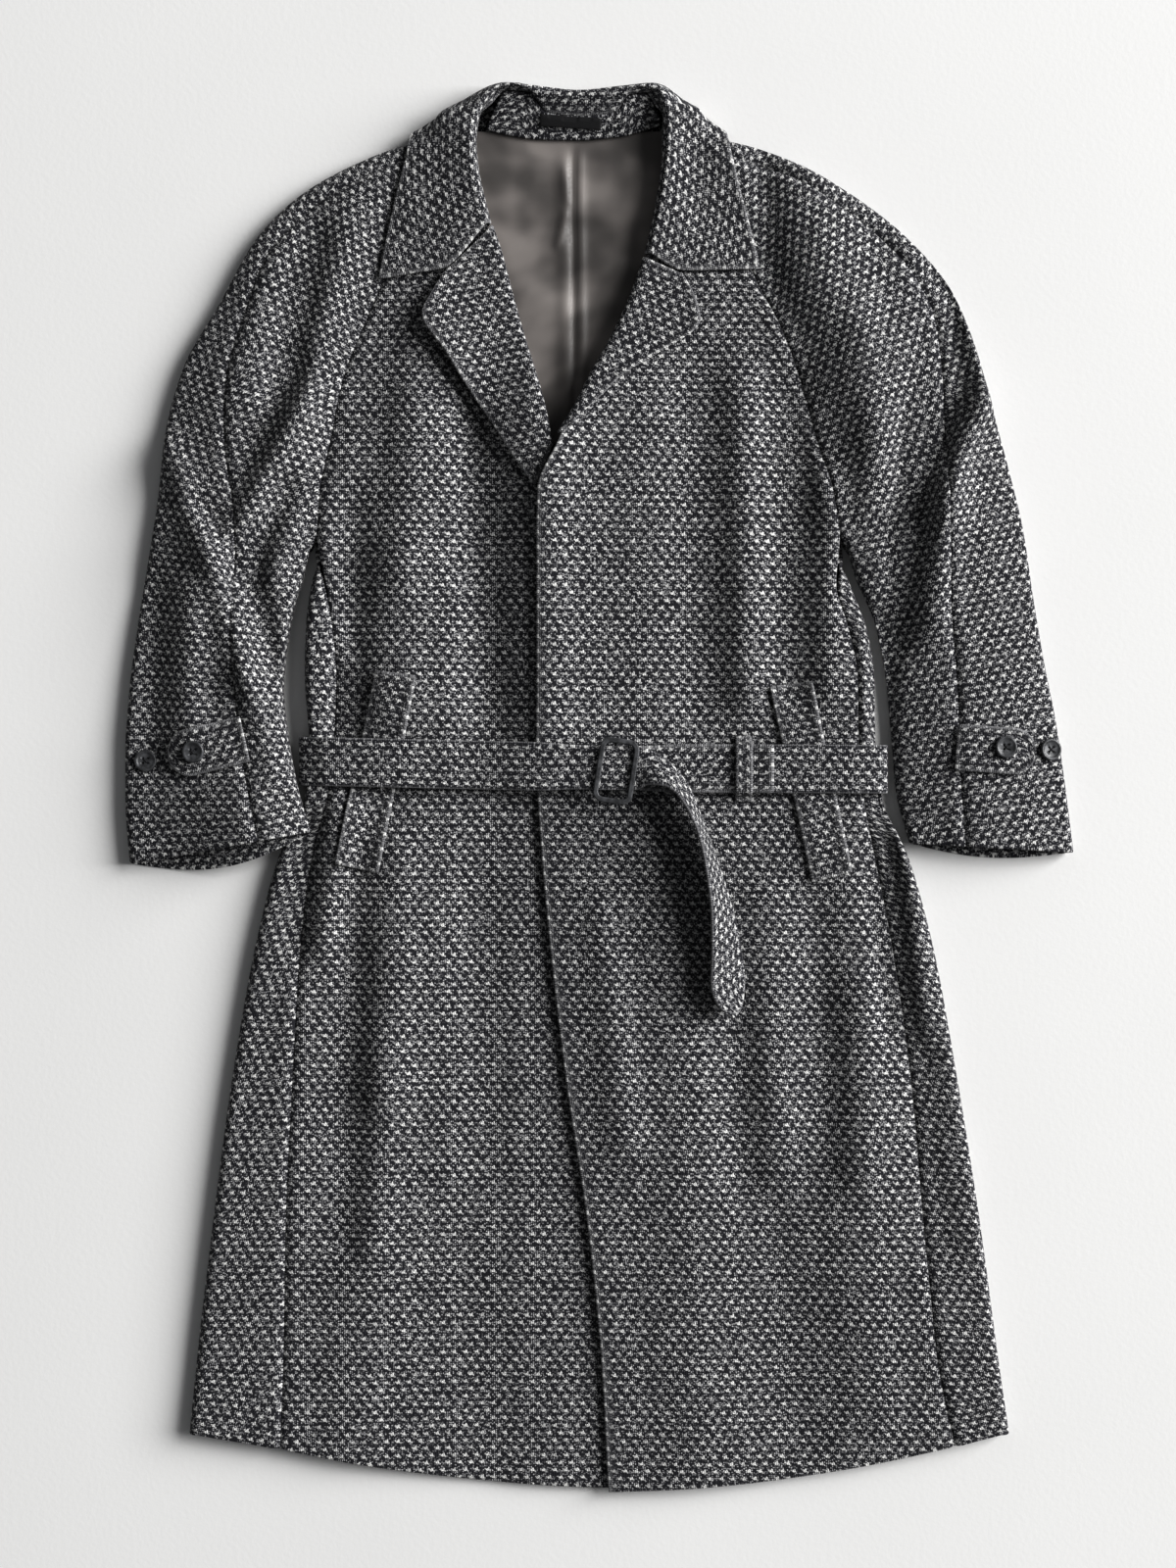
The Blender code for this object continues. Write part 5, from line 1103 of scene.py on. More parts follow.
def sewn_end(below):
    """The belt from its sewn-back end to the bar, round the bar, and on to the left side of the coat."""
    xs = np.linspace(BELT_BAR_X + SEWN_LEVEL_FROM_BAR.start, BELT_LEFT_TOP_X, 25)
    bar_drop = BELT_WALL / 2 + CENTRE_BAR / 2 + BAR_CLEARANCE
    near_bar = 1 - smoothstep(*SEWN_LEVEL_FROM_BAR, xs - BELT_BAR_X)
    lower = belt_heights(xs, below) * (1 - near_bar) + (CENTRE_BAR_Z - bar_drop) * near_bar
    upper = lower + (BELT_WALL + BELT_LAYER_GAP) * (1 - near_bar) + 2 * bar_drop * near_bar
    widths = BELT_WIDTH_IN_BUCKLE + (BELT_WIDTH - BELT_WIDTH_IN_BUCKLE) * smoothstep(*SEWN_WIDTH, xs)
    stations = []
    for x, z, width in zip(xs, upper, widths):
        if x <= BELT_RETURN_X:
            stations.insert(0, belt_pair(x, z, width))
    for angle in np.linspace(math.pi / 2, -math.pi / 2, 7)[1:-1]:
        x = BELT_BAR_X + 1 - bar_drop * math.cos(angle)
        stations.append(belt_pair(x, CENTRE_BAR_Z + bar_drop * math.sin(angle), BELT_WIDTH_IN_BUCKLE))
    for x, z, width in zip(xs, lower, widths):
        stations.append(belt_pair(x, z, width))
    return stations


def free_end(below):
    """The belt from the right side of the coat over the bar, and its hanging end."""
    xs = np.linspace(BELT_RIGHT_TOP_X, FREE_TOP_END_X, 22)
    over_bar = CENTRE_BAR_Z + BELT_WALL / 2 + CENTRE_BAR / 2 + BAR_CLEARANCE + BELT_WALL + BELT_OVER_GAP
    near_bar = smoothstep(*FREE_LEVEL, xs)
    heights = belt_heights(xs, below) * (1 - near_bar) + over_bar * near_bar
    widths = BELT_WIDTH - (BELT_WIDTH - BELT_WIDTH_IN_BUCKLE) * smoothstep(*FREE_WIDTH, xs)
    stations = [belt_pair(x, z, width) for x, z, width in zip(xs, heights, widths)]
    stations += [belt_pair(x, over_bar, BELT_WIDTH_IN_BUCKLE) for x in OVER_BAR_X]
    for row in rows_between(TAIL_ROWS, 21, ("high_x", "high_y")):
        stations.append(((row.high_x, row.high_y, row.high_z), (row.low_x, row.low_y, row.low_z)))
    return stations


def belt_stations(below):
    """Pairs of edge points along the belt: its sewn-back end, the bar, round the coat, and the free end."""
    stations = sewn_end(below)
    angles = np.linspace(math.pi / 2, -math.pi / 2, 9)
    stations += belt_turn(BELT_LEFT_FOLD_X, 1, angles)
    start, end = BELT_LEFT_FOLD_X - BELT_UNDER_INSET, BELT_RIGHT_FOLD_X + BELT_UNDER_INSET
    stations += [belt_pair(x, BELT_WALL / 2) for x in np.linspace(start, end, 9)]
    stations += belt_turn(BELT_RIGHT_FOLD_X, -1, angles[::-1])
    stations += free_end(below)
    return np.array(stations, float)


def keeper_stations(below):
    """Pairs of edge points over the belt, from one foot of its keeper to the other."""
    level = float(belt_y(KEEPER_X))
    reach = KEEPER_WIDTH / 2
    over = max(height_on(below, KEEPER_X + off, level, FOLD_HEIGHT) for off in (-reach, 0, reach))
    foot = over + LAY_GAP + KEEPER_WALL / 2
    top = foot + 2 * BELT_WALL + KEEPER_ROOM
    half = []
    for point in KEEPER_POINTS:
        z = foot * (1 - point.share) + top * point.share + point.over
        half.append((BELT_WIDTH / 2 + point.past, z))
    section = half + [(0.0, top)] + [(-y, z) for y, z in reversed(half)]
    pairs = [((KEEPER_X - reach, level + y, z), (KEEPER_X + reach, level + y, z)) for y, z in section]
    return np.array(pairs, float)


def normal_on(surfaces, x, y):
    """The highest point of these surfaces at a place in the plan, and the way the cloth faces there."""
    best = None
    for surface in surfaces:
        place, normal, _, _ = surface.ray_cast(Vector((x, y, SKY_Z)), Vector((0.0, 0.0, -1.0)))
        if place is not None and (best is None or place.z > best[0].z):
            best = (place, normal if normal.z > 0 else -normal)
    return best


def arc_places(grid, start_column=0):
    """Places on the cloth: across from one column, and along the middle of the piece."""
    across = run_along(grid, 1)
    across = across - across[:, start_column : start_column + 1]
    along = run_along(grid, 0).mean(axis=1)
    return np.stack([across, np.broadcast_to(along[:, None], across.shape)], axis=2)


def unit_rows(ways):
    """The same ways, each of length one."""
    return ways / np.linalg.norm(ways, axis=1)[:, None]


def slanted_places(grid, ease):
    """Places on cloth whose rows run slanted: square to the grain, which follows the eased middle line."""
    middle = grid.shape[1] // 2
    line = grid[:, middle]
    reach = ease // 2
    ways = np.pad(np.gradient(line, axis=0), ((reach, reach), (0, 0)), mode="edge")
    window = np.full(2 * reach + 1, 1.0 / (2 * reach + 1))
    grain = np.stack([np.convolve(ways[:, axis], window, mode="valid") for axis in range(3)], axis=1)
    grain = unit_rows(grain)
    row_way = grid[:, middle + 1] - grid[:, middle - 1]
    side = unit_rows(row_way - (row_way * grain).sum(axis=1)[:, None] * grain)
    moves = np.diff(line, axis=0, prepend=line[:1])
    run = np.cumsum((moves * grain).sum(axis=1))
    drift = np.cumsum((moves * side).sum(axis=1))
    steps = np.diff(grid, axis=1, prepend=grid[:, :1])
    forward = (steps * grain[:, None, :]).sum(axis=2)
    square = np.sqrt(np.maximum((steps**2).sum(axis=2) - forward**2, 0.0))
    along = np.cumsum(forward, axis=1)
    across = np.cumsum(square, axis=1)
    along = along - along[:, middle : middle + 1] + run[:, None]
    across = across - across[:, middle : middle + 1] + drift[:, None]
    return np.stack([across, along], axis=2)


def smoothed(grid, passes=SMOOTHING):
    """The grid with its bends eased, and its border kept."""
    made = grid.copy()
    for _ in range(passes):
        inner = made[1:-1, 1:-1]
        around = made[:-2, 1:-1] + made[2:, 1:-1] + made[1:-1, :-2] + made[1:-1, 2:]
        made[1:-1, 1:-1] = 0.5 * inner + 0.125 * around
    return made


def border_of(rows, columns):
    """Numbers of the border's points in order, and of the points one step in from them."""
    border = [(0, column) for column in range(columns)]
    border += [(row, columns - 1) for row in range(1, rows)]
    border += [(rows - 1, column) for column in range(columns - 2, -1, -1)]
    border += [(row, 0) for row in range(rows - 2, 0, -1)]
    border = np.array(border)
    inner = np.column_stack([np.clip(border[:, 0], 1, rows - 2), np.clip(border[:, 1], 1, columns - 2)])
    return border @ (columns, 1), inner @ (columns, 1)


def put_in_scene(name, data):
    """An object of this name, in the scene."""
    made = bpy.data.objects.new(name, data)
    bpy.context.scene.collection.objects.link(made)
    return made


def mesh_piece(name, points, faces, material, places=None):
    """A smooth mesh object; the places on the cloth, if any, become its UV map, in metres."""
    mesh = bpy.data.meshes.new(name)
    mesh.from_pydata((np.asarray(points, float) * MM).tolist(), [], faces)
    mesh.update()
    if places is not None:
        corner = np.empty(len(mesh.loops), np.int32)
        mesh.loops.foreach_get("vertex_index", corner)
        layer = mesh.uv_layers.new(name="UVMap")
        layer.uv.foreach_set("vector", (np.asarray(places)[corner] * MM).astype(np.float32).ravel())
    mesh.materials.append(material)
    mesh.shade_smooth()
    return put_in_scene(name, mesh)


def cloth_piece(name, grid, places, wall, material):
    """A closed piece of cloth with a rounded rim: the grid is its right side."""
    rows, columns, _ = grid.shape
    normal = grid_normals(grid).reshape(-1, 3)
    right = grid.reshape(-1, 3)
    wrong = right - wall * normal
    border, inner = border_of(rows, columns)
    out = right[border] - right[inner]
    out -= (out * normal[border]).sum(axis=1, keepdims=True) * normal[border]
    out /= np.linalg.norm(out, axis=1, keepdims=True)
    middle = (right[border] + wrong[border]) / 2
    rings = []
    for angle in np.linspace(0.0, math.pi, RIM_STEPS + 1)[1:-1]:
        rings.append(middle + wall / 2 * (math.cos(angle) * normal[border] + math.sin(angle) * out))
    points = np.concatenate([right, wrong] + rings)
    top = grid_faces(rows, columns)
    under = top[:, ::-1] + rows * columns
    count = len(border)
    loops = [border]
    loops += [2 * rows * columns + ring * count + np.arange(count) for ring in range(len(rings))]
    loops.append(border + rows * columns)
    strips = []
    for upper, lower in zip(loops, loops[1:]):
        strips.append(np.column_stack([np.roll(upper, -1), upper, lower, np.roll(lower, -1)]))
    flat = places.reshape(-1, 2)
    all_places = np.concatenate([flat, flat] + [flat[border]] * len(rings))
    faces = np.concatenate([top, under] + strips).tolist()
    return mesh_piece(name, points, faces, material, all_places)


def from_borders(grid, borders):
    """Distance of each point of a grid from the nearest of these borders."""
    down = run_along(grid, 0)
    over = run_along(grid, 1)
    far = {
        "first_row": down,
        "last_row": down[-1:] - down,
        "first_column": over,
        "last_column": over[:, -1:] - over,
    }
    return np.min([far[border] for border in borders], axis=0)


def mark_edges(made, grid, borders):
    """Notes on the mesh where its free edges are, for their painted highlight, and where the line sewn
    along them runs, for its painted shade.
    """
    far = from_borders(grid, borders).ravel()
    painted_light_marks = np.zeros((len(made.data.vertices), 3), np.float32)
    # Column 0 is a painted highlight: lighter yarns near a free edge and all over its rounded rim, where
    # the edge catches the light.
    painted_light_marks[: len(far), 0] = np.exp(-((far / EDGE_HIGHLIGHT) ** 2))
    # Column 1 is a painted shade along the line sewn beside the edge, where the stitches draw the cloth in.
    painted_light_marks[: len(far), 1] = np.exp(-(((far - EDGE_STITCH) / STITCH_SHADE) ** 2))
    painted_light_marks[2 * len(far) :, 0] = 1.0
    layer = made.data.attributes.new("edge", "FLOAT_VECTOR", "POINT")
    layer.data.foreach_set("vector", painted_light_marks.ravel())


def lay_cloth(name, grid, places, material, wall=CLOTH, free=()):
    """Makes a piece of cloth in place of its solid."""
    made = cloth_piece(name + "_cloth", grid, places, wall, material)
    if free:
        mark_edges(made, grid, free)
    GRIDS[name] = grid
    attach(made, BODY)
    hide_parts(name)
    return made


def put(tree, socket, value):
    """Sets a socket, or links it where the value is another node's output."""
    if isinstance(value, bpy.types.NodeSocket):
        tree.links.new(value, socket)
    else:
        socket.default_value = value


def calc(tree, operation, *values):
    node = tree.nodes.new("ShaderNodeMath")
    node.operation = operation
    for socket, value in zip(node.inputs, values):
        put(tree, socket, value)
    return node.outputs[0]


def vector_calc(tree, operation, *values):
    node = tree.nodes.new("ShaderNodeVectorMath")
    node.operation = operation
    for socket, value in zip(node.inputs, values):
        put(tree, socket, value)
    return node.outputs["Value"] if operation == "LENGTH" else node.outputs["Vector"]


def ramp(tree, value, low, high, to_low=0.0, to_high=1.0):
    node = tree.nodes.new("ShaderNodeMapRange")
    node.interpolation_type = "SMOOTHSTEP"
    for socket, given in zip(node.inputs, (value, low, high, to_low, to_high)):
        put(tree, socket, given)
    return node.outputs[0]


def mix_colour(tree, factor, first, second):
    node = tree.nodes.new("ShaderNodeMix")
    node.data_type = "RGBA"
    put(tree, node.inputs[0], factor)
    put(tree, node.inputs[6], first)
    put(tree, node.inputs[7], second)
    return node.outputs[2]


def noise_at(tree, place, scale, detail=2.0, colour=False):
    node = tree.nodes.new("ShaderNodeTexNoise")
    put(tree, node.inputs["Vector"], place)
    node.inputs["Scale"].default_value = scale
    node.inputs["Detail"].default_value = detail
    return node.outputs["Color" if colour else "Fac"]


def combine(tree, x, y):
    node = tree.nodes.new("ShaderNodeCombineXYZ")
    put(tree, node.inputs[0], x)
    put(tree, node.inputs[1], y)
    return node.outputs[0]


def random_at(tree, x, y):
    node = tree.nodes.new("ShaderNodeTexWhiteNoise")
    node.noise_dimensions = "2D"
    put(tree, node.inputs["Vector"], combine(tree, x, y))
    return node.outputs["Value"]


def bump(tree, shader, height, distance, strength):
    node = tree.nodes.new("ShaderNodeBump")
    node.inputs["Distance"].default_value = distance
    node.inputs["Strength"].default_value = strength
    put(tree, node.inputs["Height"], height)
    put(tree, shader.inputs["Normal"], node.outputs[0])


def new_material(name):
    material = bpy.data.materials.new(name)
    material.use_nodes = True
    return material, material.node_tree, material.node_tree.nodes["Principled BSDF"]


def cloth_place(tree):
    node = tree.nodes.new("ShaderNodeUVMap")
    node.uv_map = "UVMap"
    return node.outputs[0]


def object_place(tree):
    return tree.nodes.new("ShaderNodeTexCoord").outputs["Object"]


def rgba(colour):
    return (*colour, 1.0)


def separate(tree, vector):
    node = tree.nodes.new("ShaderNodeSeparateXYZ")
    put(tree, node.inputs[0], vector)
    return node.outputs


def ribs(tree, place, pitch):
    """Fine ridges side by side, one to each pitch."""
    return calc(tree, "SINE", calc(tree, "MULTIPLY", place, 2 * math.pi / pitch))


def two_tones(tree, shader, shade, colour, dark, light):
    """Shades a finish between a darker and a lighter tone of its colour."""
    tones = [rgba(min(1.0, tone * part) for part in colour) for tone in (dark, light)]
    put(tree, shader.inputs["Base Color"], mix_colour(tree, shade, *tones))


# The drawn repeat of the weave, in yarns from the middle of a fleck: where each light yarn shows, how
# far it reaches, and how light it is.
Lobe = namedtuple("Lobe", "x y width height light")
FLECK_LOBES = (
    Lobe(0.0, 0.0, 1.25, 0.85, 1.0),
    Lobe(0.45, 0.70, 0.60, 0.75, 0.9),
    Lobe(1.30, -0.65, 0.60, 0.60, 0.65),
    Lobe(-1.25, 0.45, 0.60, 0.55, 0.55),
)
SPECKS_ACROSS = 0.95
SPECKS_ALONG = 0.95
REPEAT_ACROSS = 6
REPEAT_ALONG = 4


def flecks_light(tree, from_fleck):
    """Light of the drawn fleck, by the place from its middle."""
    total = 0.0
    for lobe in FLECK_LOBES:
        off = vector_calc(tree, "SUBTRACT", from_fleck, (lobe.x, lobe.y, 0.0))
        off = vector_calc(tree, "DIVIDE", off, (lobe.width, lobe.height, 1.0))
        light = ramp(tree, vector_calc(tree, "LENGTH", off), 0.55, 1.1, lobe.light, 0.0)
        total = calc(tree, "MAXIMUM", total, light)
    return total


def specks_light(tree, across, along):
    """Light of the single pale yarns that show between the flecks, salt and pepper."""
    cells = tree.nodes.new("ShaderNodeTexVoronoi")
    cells.voronoi_dimensions = "2D"
    cells.inputs["Scale"].default_value = 1.0
    cells.inputs["Randomness"].default_value = 0.75
    across = calc(tree, "MULTIPLY", across, SPECKS_ACROSS)
    along = calc(tree, "MULTIPLY", along, SPECKS_ALONG)
    put(tree, cells.inputs["Vector"], combine(tree, across, along))
    chance = tree.nodes.new("ShaderNodeSeparateColor")
    put(tree, chance.inputs[0], cells.outputs["Color"])
    lit = ramp(tree, chance.outputs[0], 0.25, 0.95)
    dot = ramp(tree, cells.outputs["Distance"], 0.2, 0.55, 1.0, 0.0)
    return calc(tree, "MULTIPLY", lit, dot)


def tweed_material(settings):
    """Flecked tweed: dark, grey and off-white yarns in a small staggered repeat on the UV map; painted
    highlight on free edges, painted shade on sewn lines.
    """
    material, tree, shader = new_material("flecked_tweed")
    place = cloth_place(tree)
    waver = vector_calc(tree, "SUBTRACT", noise_at(tree, place, 260.0, 3.0, True), (0.5, 0.5, 0.5))
    waver = vector_calc(tree, "MULTIPLY", waver, (2.0 * MM, 1.7 * MM, 0.0))
    wavered = separate(tree, vector_calc(tree, "ADD", place, waver))
    across = calc(tree, "DIVIDE", wavered[0], settings.yarn_across)
    along = calc(tree, "DIVIDE", wavered[1], settings.yarn_along)
    band = calc(tree, "FLOOR", calc(tree, "DIVIDE", along, REPEAT_ALONG))
    in_band = calc(tree, "SUBTRACT", along, calc(tree, "MULTIPLY", band, REPEAT_ALONG))
    shifted = calc(tree, "ADD", across, calc(tree, "MULTIPLY", band, REPEAT_ACROSS / 2))
    repeat = calc(tree, "FLOOR", calc(tree, "DIVIDE", shifted, REPEAT_ACROSS))
    in_repeat = calc(tree, "SUBTRACT", shifted, calc(tree, "MULTIPLY", repeat, REPEAT_ACROSS))
    from_fleck = combine(
        tree,
        calc(tree, "SUBTRACT", in_repeat, REPEAT_ACROSS / 2),
        calc(tree, "SUBTRACT", in_band, REPEAT_ALONG / 2),
    )
    fibre = noise_at(tree, place, 1100.0, 4.0)
    patch = noise_at(tree, place, 45.0, 3.0)
    flecks = flecks_light(tree, from_fleck)
    flecks = calc(tree, "MULTIPLY", flecks, ramp(tree, random_at(tree, repeat, band), 0.0, 1.0, 0.75, 1.15))
    flecks = calc(tree, "MULTIPLY", flecks, ramp(tree, fibre, 0.30, 0.55, 0.55, 1.1))
    flecks = calc(tree, "MULTIPLY", flecks, ramp(tree, patch, 0.35, 0.65, 0.8, 1.1))
    specks = specks_light(tree, across, along)
    specks = calc(tree, "MULTIPLY", specks, ramp(tree, fibre, 0.30, 0.55, 0.5, 1.15))
    edge = tree.nodes.new("ShaderNodeAttribute")
    edge.attribute_name = "edge"
    painted_light_marks = separate(tree, edge.outputs["Vector"])
    # Painted highlight: lighter yarns along free edges and rims, where the edges catch the light.
    painted_edge_highlight = calc(tree, "MULTIPLY", painted_light_marks[0], ramp(tree, fibre, 0.35, 0.6, 0.05, 0.6))
    specks = calc(tree, "MAXIMUM", specks, painted_edge_highlight)
    # Painted shade: flecks and specks are darker along the sewn lines, where the stitches draw the cloth
    # in.
    painted_stitch_shade = calc(tree, "SUBTRACT", 1.0, calc(tree, "MULTIPLY", painted_light_marks[1], 0.45))
    specks = calc(tree, "MULTIPLY", specks, painted_stitch_shade)
    flecks = calc(tree, "MULTIPLY", flecks, painted_stitch_shade)
    colour = mix_colour(tree, specks, rgba(settings.ground), rgba(settings.grey))
    colour = mix_colour(tree, flecks, colour, rgba(settings.fleck))
    put(tree, shader.inputs["Base Color"], colour)
    shader.inputs["Roughness"].default_value = 0.92
    shader.inputs["Specular IOR Level"].default_value = 0.12
    shader.inputs["Sheen Weight"].default_value = 0.12
    shader.inputs["Sheen Roughness"].default_value = 0.5
    dome_across = calc(tree, "SINE", calc(tree, "MULTIPLY", across, math.pi))
    dome_along = calc(tree, "SINE", calc(tree, "MULTIPLY", along, math.pi))
    dome = calc(tree, "ABSOLUTE", calc(tree, "MULTIPLY", dome_across, dome_along))
    height = calc(tree, "ADD", calc(tree, "MULTIPLY", dome, 0.5), calc(tree, "MULTIPLY", flecks, 0.5))
    height = calc(tree, "ADD", height, calc(tree, "MULTIPLY", fibre, 0.6))
    bump(tree, shader, height, 0.9 * MM, 0.9)
    return material


def satin_material(settings):
    """Smooth lining with a soft sheen and a very fine rib, and broad blotches of painted reflection in its
    colour.
    """
    material, tree, shader = new_material("grey_satin")
    place = cloth_place(tree)
    # Painted reflections: broad darker and lighter blotches of the base colour stand for the satin's
    # reflections.
    shade = ramp(tree, noise_at(tree, place, 15.0, 2.0), 0.36, 0.64)
    two_tones(tree, shader, shade, settings.satin, dark=0.5, light=1.5)
    put(tree, shader.inputs["Roughness"], ramp(tree, noise_at(tree, place, 400.0), 0.3, 0.7, 0.42, 0.52))
    shader.inputs["Sheen Weight"].default_value = 0.3
    shader.inputs["Specular IOR Level"].default_value = 0.6
    bump(tree, shader, ribs(tree, separate(tree, place)[0], 0.6 * MM), 0.03 * MM, 0.4)
    return material


def tape_material(settings):
    """Black woven tape with fine ribs."""
    material, tree, shader = new_material("black_tape")
    place = cloth_place(tree)
    shade = noise_at(tree, place, 700.0, 3.0)
    two_tones(tree, shader, shade, settings.tape, dark=1.0, light=2.2)
    shader.inputs["Roughness"].default_value = 0.6
    bump(tree, shader, ribs(tree, separate(tree, place)[1], 0.5 * MM), 0.08 * MM, 0.6)
    return material


def horn_material(settings):
    """Dark horn-like plastic, clouded and lightly scuffed."""
    material, tree, shader = new_material("dark_horn")
    place = object_place(tree)
    shade = ramp(tree, noise_at(tree, place, 160.0, 4.0), 0.35, 0.7)
    two_tones(tree, shader, shade, settings.horn, dark=1.0, light=2.6)
    scuffs = noise_at(tree, place, 900.0, 5.0)
    put(tree, shader.inputs["Roughness"], ramp(tree, scuffs, 0.3, 0.7, 0.24, 0.46))
    shader.inputs["Specular IOR Level"].default_value = 0.5
    bump(tree, shader, noise_at(tree, place, 1400.0, 3.0), 0.05 * MM, 0.3)
    return material


def thread_material(settings):
    """Twisted sewing thread."""
    material, tree, shader = new_material("dark_thread")
    place = object_place(tree)
    shade = noise_at(tree, place, 2500.0)
    two_tones(tree, shader, shade, settings.thread, dark=1.0, light=2.5)
    shader.inputs["Roughness"].default_value = 0.75
    return material


def floor_material(settings):
    """Pale painted floor, almost smooth."""
    material, tree, shader = new_material("pale_floor")
    place = object_place(tree)
    shade = noise_at(tree, place, 3.0, 4.0)
    two_tones(tree, shader, shade, settings.floor, dark=0.975, light=1.03)
    shader.inputs["Roughness"].default_value = 0.7
    bump(tree, shader, noise_at(tree, place, 220.0, 5.0), 0.4 * MM, 0.25)
    return material


def finish_named(name, make, settings):
    """The finish of this name, made the first time it is asked for."""
    return bpy.data.materials.get(name) or make(settings)


def tweed():
    return finish_named("flecked_tweed", tweed_material, bpy.context.scene.coat_cloth)


def satin():
    return finish_named("grey_satin", satin_material, bpy.context.scene.coat_trim)


def tape():
    return finish_named("black_tape", tape_material, bpy.context.scene.coat_trim)


def horn():
    return finish_named("dark_horn", horn_material, bpy.context.scene.coat_trim)


def thread():
    return finish_named("dark_thread", thread_material, bpy.context.scene.coat_trim)


def rounded_bar(name, path, across, material, sides, closed=False, flat=1.0, groove=0.0):
    """A bar of this thickness along a path, round or a little flattened, with a groove along its top."""
    path = np.array(path, float)
    if closed:
        along = np.roll(path, -1, axis=0) - np.roll(path, 1, axis=0)
    else:
        along = np.gradient(path, axis=0)
    along /= np.linalg.norm(along, axis=1, keepdims=True)
    beside = np.array((0.0, 0.0, 1.0) if closed else (1.0, 0.0, 0.0))
    points = []
    for place, way in zip(path, along):
        side = np.cross(way, beside)
        side /= np.linalg.norm(side)
        other = np.cross(way, side)
        for angle in np.linspace(0.0, 2 * math.pi, sides, endpoint=False):
            off = math.cos(angle) * side + flat * math.sin(angle) * other
            sunk = groove * float(smoothstep(*GROOVE_FROM_TOP, off[2] / flat))
            points.append(place + across / 2 * (1 - sunk) * off)
    count = len(path)
    faces = []
    for row in range(count if closed else count - 1):
        here, there = row * sides, ((row + 1) % count) * sides
        for corner in range(sides):
            after = (corner + 1) % sides
            faces.append([here + corner, here + after, there + after, there + corner])
    if not closed:
        faces.append(list(range(sides))[::-1])
        faces.append([(count - 1) * sides + corner for corner in range(sides)])
    return outward(mesh_piece(name, points, faces, material))


def outward(made):
    """Turns the faces round if the piece is inside out."""
    mesh = made.data
    volume = 0.0
    mesh.calc_loop_triangles()
    for triangle in mesh.loop_triangles:
        a, b, c = (mesh.vertices[index].co for index in triangle.vertices)
        volume += a.dot(b.cross(c))
    if volume < 0:
        mesh.flip_normals()
    return made


def buckle_object():
    """A rounded frame, with a bar across it that hangs low enough for the belt to pass over."""
    half_x = BUCKLE_WIDTH / 2 - BUCKLE_BAR / 2
    half_y = BUCKLE_LENGTH / 2 - BUCKLE_BAR / 2
    path = []
    for sign_x, sign_y, start in ((1, 1, 0), (-1, 1, 90), (-1, -1, 180), (1, -1, 270)):
        for step in np.linspace(0.0, 90.0, 12):
            angle = math.radians(start + step)
            x = sign_x * (half_x - BUCKLE_CORNER) + BUCKLE_CORNER * math.cos(angle)
            path.append((x, sign_y * (half_y - BUCKLE_CORNER) + BUCKLE_CORNER * math.sin(angle), 0.0))
    made = rounded_bar("buckle", path, BUCKLE_BAR, horn(), 36, True, BUCKLE_BAR_FLATNESS, BUCKLE_GROOVE)
    drop = CENTRE_BAR_Z - BUCKLE_CENTRE[2]
    half = [(half_y - point.inset, drop * point.share + point.over) for point in BAR_POINTS]
    hung = half + [(0.0, drop)] + [(-y, z) for y, z in reversed(half)]
    bar_path = [(CENTRE_BAR_X, y, z) for y, z in hung]
    bar = rounded_bar("buckle_bar", bar_path, CENTRE_BAR, horn(), sides=14)
    place = Matrix.Translation(Vector(BUCKLE_CENTRE) * MM) @ Matrix.Rotation(BUCKLE_TURN, 4, "Z")
    for each in (made, bar):
        each.data.transform(place)
    return joined(made, [bar], "UNION")


def stitch_nodes():
    """Nodes that lay one stitch at each step along the lines they are given."""
    tree = bpy.data.node_groups.new("stitches", "GeometryNodeTree")
    for label, kind in (
        ("Lines", "NodeSocketGeometry"),
        ("Step", "NodeSocketFloat"),
        ("Length", "NodeSocketFloat"),
        ("Thickness", "NodeSocketFloat"),
        ("Thread", "NodeSocketMaterial"),
    ):
        tree.interface.new_socket(name=label, in_out="INPUT", socket_type=kind)
    tree.interface.new_socket(name="Stitches", in_out="OUTPUT", socket_type="NodeSocketGeometry")
    given = tree.nodes.new("NodeGroupInput")
    shown = tree.nodes.new("NodeGroupOutput")
    curve = tree.nodes.new("GeometryNodeMeshToCurve")
    steps = tree.nodes.new("GeometryNodeCurveToPoints")
    steps.mode = "LENGTH"
    bead = tree.nodes.new("GeometryNodeMeshUVSphere")
    bead.inputs["Segments"].default_value = 8
    bead.inputs["Rings"].default_value = 6
    bead.inputs["Radius"].default_value = 0.5
    size = tree.nodes.new("ShaderNodeCombineXYZ")
    placed = tree.nodes.new("GeometryNodeInstanceOnPoints")
    real = tree.nodes.new("GeometryNodeRealizeInstances")
    finish = tree.nodes.new("GeometryNodeSetMaterial")
    for start, end in (
        (given.outputs["Lines"], curve.inputs["Mesh"]),
        (curve.outputs["Curve"], steps.inputs["Curve"]),
        (given.outputs["Step"], steps.inputs["Length"]),
        (given.outputs["Thickness"], size.inputs["X"]),
        (given.outputs["Thickness"], size.inputs["Y"]),
        (given.outputs["Length"], size.inputs["Z"]),
        (steps.outputs["Points"], placed.inputs["Points"]),
        (steps.outputs["Rotation"], placed.inputs["Rotation"]),
        (bead.outputs["Mesh"], placed.inputs["Instance"]),
        (size.outputs["Vector"], placed.inputs["Scale"]),
        (placed.outputs["Instances"], real.inputs["Geometry"]),
        (real.outputs["Geometry"], finish.inputs["Geometry"]),
        (given.outputs["Thread"], finish.inputs["Material"]),
        (finish.outputs["Geometry"], shown.inputs["Stitches"]),
    ):
        tree.links.new(start, end)
    return tree


